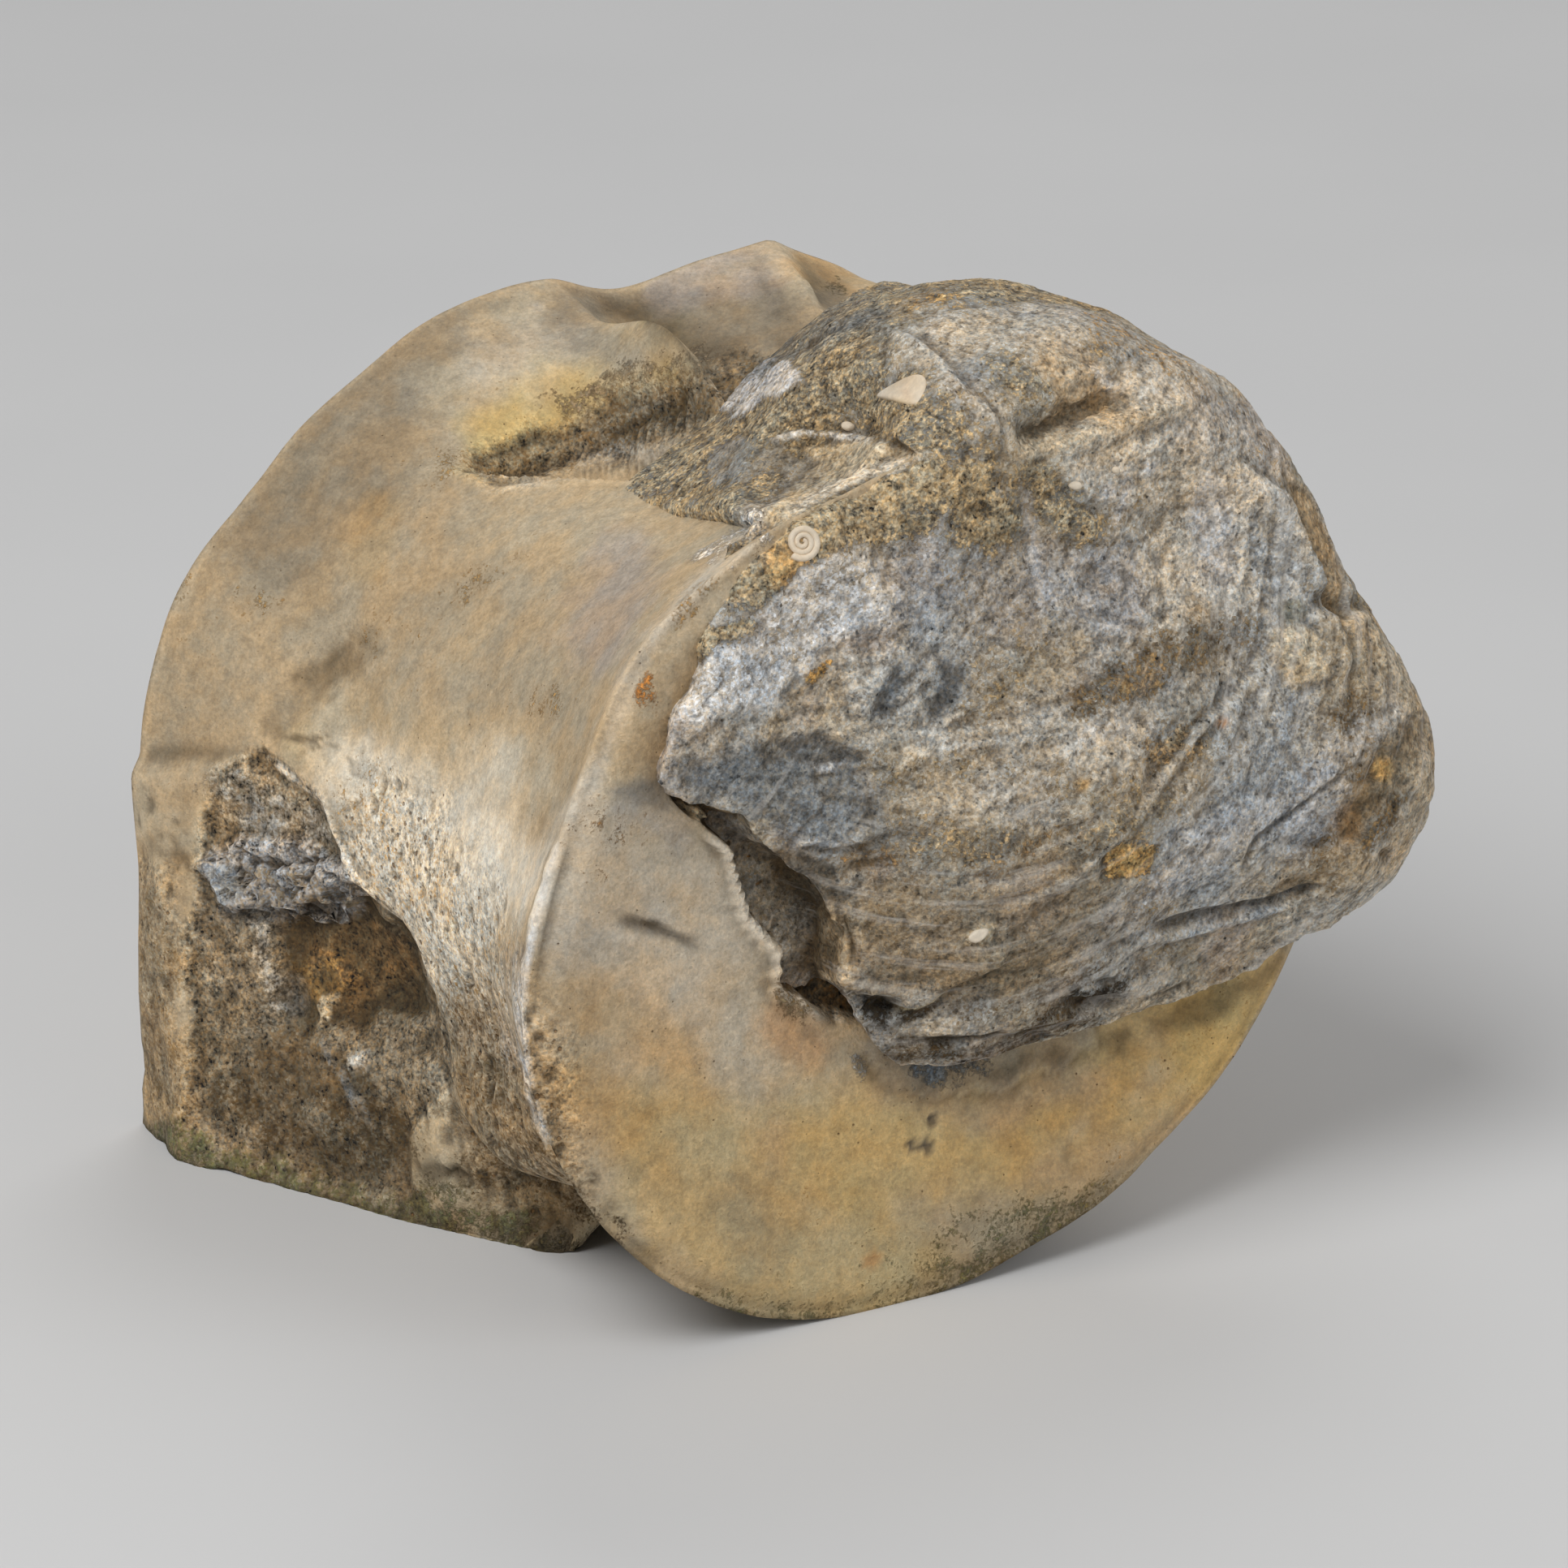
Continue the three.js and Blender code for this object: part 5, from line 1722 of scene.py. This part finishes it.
    def paint(self, skin: Skin) -> None:
        """Lays on the colours and the shares of sand, pores and streaks.

        Args:
            skin: The rock's skin, already carved.
        """
        at, x, y, q = skin.at, *skin.local.T
        wide, close = Noise(41).rough(at, 18.0, 4), Noise(42).rough(at, 5.0, 4)
        skin.soak(Tint.BLUE, 0.4 * ramp(0.05, 0.5, Noise(43).rough(at, 12.0, 4)))
        skin.soak(Tint.SAND, 0.6 * ramp(-0.2, 0.4, Noise(45).rough(at, 8.0, 4)))
        skin.soak(Tint.PALE, 0.25 * ramp(-0.3, 0.5, Noise(46).rough(at, 5.0, 4)))
        skin.soak(Tint.LILAC, 0.5 * ramp(0.0, 0.5, Noise(44).rough(at, 7.0, 4)))
        skin.coat(Tint.SAND, 0.42 * ramp(-0.3, 0.5, wide) + 0.2 * close)
        side = ramp(24.0, 18.0, q)
        skin.coat(Tint.SAND, 0.65 * side)
        skin.mark(self.marks)
        # Dirt and painted shade in the rock's hollows.
        skin.shade_and_dirt_in_hollows(Tint.UMBER, 0.5, 0.2)
        from_hinge = np.hypot(x - self.hinge_mm[0], y - self.hinge_mm[1])
        around = np.arctan2(y - self.hinge_mm[1], x - self.hinge_mm[0])
        turn = ramp(-2.45, -1.9, np.where(around > 1.6, around - 2.0 * math.pi, around))
        rings = ramp(12.0, 22.0, from_hinge) * (1.0 - side)
        skin.finish[:, 0] = 0.7
        skin.finish[:, 1] = 0.4 * ramp(0.0, 0.5, close)
        skin.finish[:, 2] = np.clip(rings * np.abs(2.0 * turn - 1.0) * (0.8 + 0.4 * close), 0, 1)
        along_rings = np.stack([from_hinge, 2.0 * around, 0.1 * q], axis=1)
        across_rings = np.stack([26.0 * around, 0.12 * from_hinge, 0.1 * q + 40.0], axis=1)
        skin.flow = np.where(turn[:, None] > 0.5, along_rings, across_rings)

    def build(self) -> bpy.types.Object:
        """Makes the rock in place of its solid.

        Returns:
            The finished rock.
        """
        skin = Skin(self.shaped(), Tint.GREY)
        self.undercut(skin)
        self.roughen(skin)
        self.paint(skin)
        skin.store()
        piece = finish_piece(skin.mesh, "rock_looks", self.finish.build())
        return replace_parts(piece, "matrix")


# ---- Small pieces stuck on the rock --------------------------------------------------------

@dataclass
class ShellBits:
    """Chips of shell and a coiled worm tube, each set on the rock where it is seen."""

    rock: bpy.types.Object
    chips: tuple[Points, ...] = (
        ((1074, 491), (1090, 480), (1105, 472), (1138, 455), (1147, 472), (1136, 503), (1113, 500),
         (1092, 492)),
        ((1036, 524), (1046, 518), (1056, 524), (1050, 532), (1040, 532)),
        ((1188, 1157), (1200, 1143), (1226, 1140), (1212, 1160), (1198, 1163)),
        ((1368, 577), (1376, 572), (1380, 580), (1372, 586)),
        ((1312, 596), (1330, 590), (1336, 600), (1320, 606)),
    )
    thick_mm: float = 0.42
    # Height over the rock, in thicknesses, and share of the way in, of a chip's foot, edge and top.
    chip_rings: Points = ((-1.0, 0.0), (0.7, 0.04), (1.0, 0.4))
    coil_at: tuple[float, float] = (989.0, 668.0)
    coil_mm: float = 1.2
    tube_mm: float = 0.30
    turns: float = 2.6
    inward: float = 0.9
    thinning: float = 0.35
    coil_steps: int = 64
    coil_sides: int = 8
    finish: StoneFinish = StoneFinish("shell", 0.6, 0.08, 0.04, 0.12, 0.5, Tint.TAN, Tint.CHALK, 0.2, 0.06)
    marks: tuple[Mark, ...] = (
        stain(((1105, 485), (1128, 480)), 24, Tint.ORANGE, 0.7, 10, 6),
        stain(((1085, 495), (1110, 500), (1136, 500)), 10, Tint.STRAW, 0.6, 8, 6),
        stain(((989, 668),), 60, Tint.PALE, 0.6, 8, 2),
    )

    def foot(self, x: float, y: float, tree: BVHTree) -> tuple[Vector, Vector]:
        """Finds what is seen at a picture point.

        Args:
            x: Picture points from the left.
            y: Picture points from the top.
            tree: The rock's faces.

        Returns:
            The point of the rock, in metres, and the way it faces.
        """
        at, normal, _, _ = tree.ray_cast(Vector(VIEW.eye() * MM), Vector(VIEW.ray(x, y)))
        return at, normal

    def add_chip(self, work: bmesh.types.BMesh, outline: Points, tree: BVHTree) -> None:
        """Lays one chip over its outline: a sunk foot, a rounded edge and a domed top.

        Args:
            work: The mesh it is added to.
            outline: Its border, in picture points.
            tree: The rock's faces.
        """
        feet, normals = zip(*(self.foot(x, y, tree) for x, y in outline))
        up = sum(normals, Vector()).normalized()
        middle = sum(feet, Vector()) / len(feet)
        rings = [
            [work.verts.new(at.lerp(middle, inset) + up * (lift * self.thick_mm * MM)) for at in feet]
            for lift, inset in self.chip_rings
        ]
        self.close(work, rings)

    def add_coil(self, work: bmesh.types.BMesh, tree: BVHTree) -> None:
        """Winds the worm tube, thinner and higher towards its middle.

        Args:
            work: The mesh it is added to.
            tree: The rock's faces.
        """
        middle, up = self.foot(*self.coil_at, tree)
        across = up.orthogonal().normalized()
        along = up.cross(across)
        rings = []
        for i in range(self.coil_steps + 1):
            share = i / self.coil_steps
            angle = 2.0 * math.pi * self.turns * share
            out = across * math.cos(angle) + along * math.sin(angle)
            tube = self.tube_mm * MM * (1.0 - self.thinning * share)
            centre = middle + out * (self.coil_mm * MM * (1.0 - self.inward * share))
            centre = centre + up * (tube * (0.3 * share - 0.1))
            turns = (2.0 * math.pi * k / self.coil_sides for k in range(self.coil_sides))
            ring = [centre + (out * math.cos(t) + up * math.sin(t)) * tube for t in turns]
            rings.append([work.verts.new(at) for at in ring])
        self.close(work, rings)

    def close(self, work: bmesh.types.BMesh, rings: list[list[bmesh.types.BMVert]]) -> None:
        """Joins rings of points in turn and closes both ends.

        Args:
            work: The mesh that the points are in.
            rings: The rings, each with as many points as the next.
        """
        for low, high in zip(rings, rings[1:]):
            for i in range(len(low)):
                j = (i + 1) % len(low)
                work.faces.new((low[i], low[j], high[j], high[i]))
        work.faces.new(list(reversed(rings[0])))
        work.faces.new(rings[-1])

    def build(self) -> bpy.types.Object:
        """Makes all the bits as one piece.

        Returns:
            The finished piece.
        """
        tree = BVHTree.FromObject(self.rock, bpy.context.evaluated_depsgraph_get())
        work = bmesh.new()
        for outline in self.chips:
            self.add_chip(work, outline, tree)
        self.add_coil(work, tree)
        bmesh.ops.recalc_face_normals(work, faces=work.faces)
        mesh = bpy.data.meshes.new("shell_bits")
        work.to_mesh(mesh)
        work.free()
        skin = Skin(applied(mesh, "SUBSURF", levels=2, render_levels=2), Tint.PALE)
        skin.mark(self.marks)
        skin.soak(Tint.TAN, 0.4 * ramp(0.0, 0.5, skin.uneven))
        skin.store()
        return finish_piece(skin.mesh, "shell_bits", self.finish.build())


# ---- Studio --------------------------------------------------------------------------------

@dataclass(frozen=True)
class Lamp:
    """A soft rectangular light aimed at the fossil."""

    name: str
    azimuth_deg: float
    elevation_deg: float
    distance_m: float
    size_m: float
    watts: float
    aim_m: float = 0.03

    def build(self) -> None:
        """Hangs the light."""
        data = bpy.data.lights.new(self.name, "AREA")
        data.shape = "DISK"
        data.size = self.size_m
        data.energy = self.watts
        lamp = bpy.data.objects.new(self.name, data)
        turn, tilt = math.radians(self.azimuth_deg), math.radians(self.elevation_deg)
        away = Vector((math.sin(turn) * math.cos(tilt), -math.cos(turn) * math.cos(tilt), math.sin(tilt)))
        lamp.matrix_world = (Matrix.Translation(Vector((0, 0, self.aim_m)) + away * self.distance_m)
                             @ away.to_track_quat("Z", "Y").to_matrix().to_4x4())
        bpy.context.collection.objects.link(lamp)


@dataclass
class Studio:
    """A plain pale floor under soft light."""

    floor_m: float = 6.0
    floor_shade: float = 0.62
    world_shade: float = 0.85
    world_strength: float = 0.30
    lamps: tuple[Lamp, ...] = (
        Lamp("key", -35.0, 52.0, 0.9, 0.55, 5.2),
        Lamp("fill", 60.0, 25.0, 1.1, 0.8, 2.2),
        Lamp("back", 170.0, 45.0, 1.1, 0.7, 2.6),
    )

    def floor_finish(self) -> bpy.types.Material:
        """Makes a matt paper surface with a trace of unevenness.

        Returns:
            The floor's material.
        """
        material = bpy.data.materials.new("pale_floor")
        n = Nodes(material)
        at = n.add("TexCoord", {}).outputs["Object"]
        shade = n.spread(n.noise(at, 9.0, 3.0), 0.3, 0.7, self.floor_shade, self.floor_shade + 0.02)
        colour = n.add("CombineColor", {0: shade, 1: shade, 2: shade}).outputs[0]
        surface = n.add("BsdfPrincipled", {"Base Color": colour, "Roughness": 0.9})
        n.add("OutputMaterial", {"Surface": surface.outputs[0]})
        return material

    def build(self) -> None:
        """Lays the floor, lights it and sets the pale surroundings."""
        bm = bmesh.new()
        bmesh.ops.create_grid(bm, x_segments=8, y_segments=8, size=self.floor_m / 2.0)
        mesh = bpy.data.meshes.new("floor")
        bm.to_mesh(mesh)
        bm.free()
        mesh.materials.append(self.floor_finish())
        floor = bpy.data.objects.new("floor", mesh)
        bpy.context.collection.objects.link(floor)
        for lamp in self.lamps:
            lamp.build()
        world = bpy.data.worlds.new("surroundings")
        world.use_nodes = True
        back = world.node_tree.nodes["Background"]
        back.inputs["Color"].default_value = (self.world_shade,) * 3 + (1.0,)
        back.inputs["Strength"].default_value = self.world_strength
        bpy.context.scene.world = world
        bpy.context.scene.view_settings.view_transform = "Standard"


def main() -> None:
    """Builds the camera, the studio and the fossil's pieces in order."""
    logging.basicConfig(level=logging.INFO, format="%(name)s: %(message)s")
    VIEW.build()
    Studio().build()
    bone, rock = Vertebra().build(), RockCrust().build()
    bits = ShellBits(rock).build()
    log.info("made %s, %s and %s", bone.name, rock.name, bits.name)


if __name__ == "__main__":
    main()
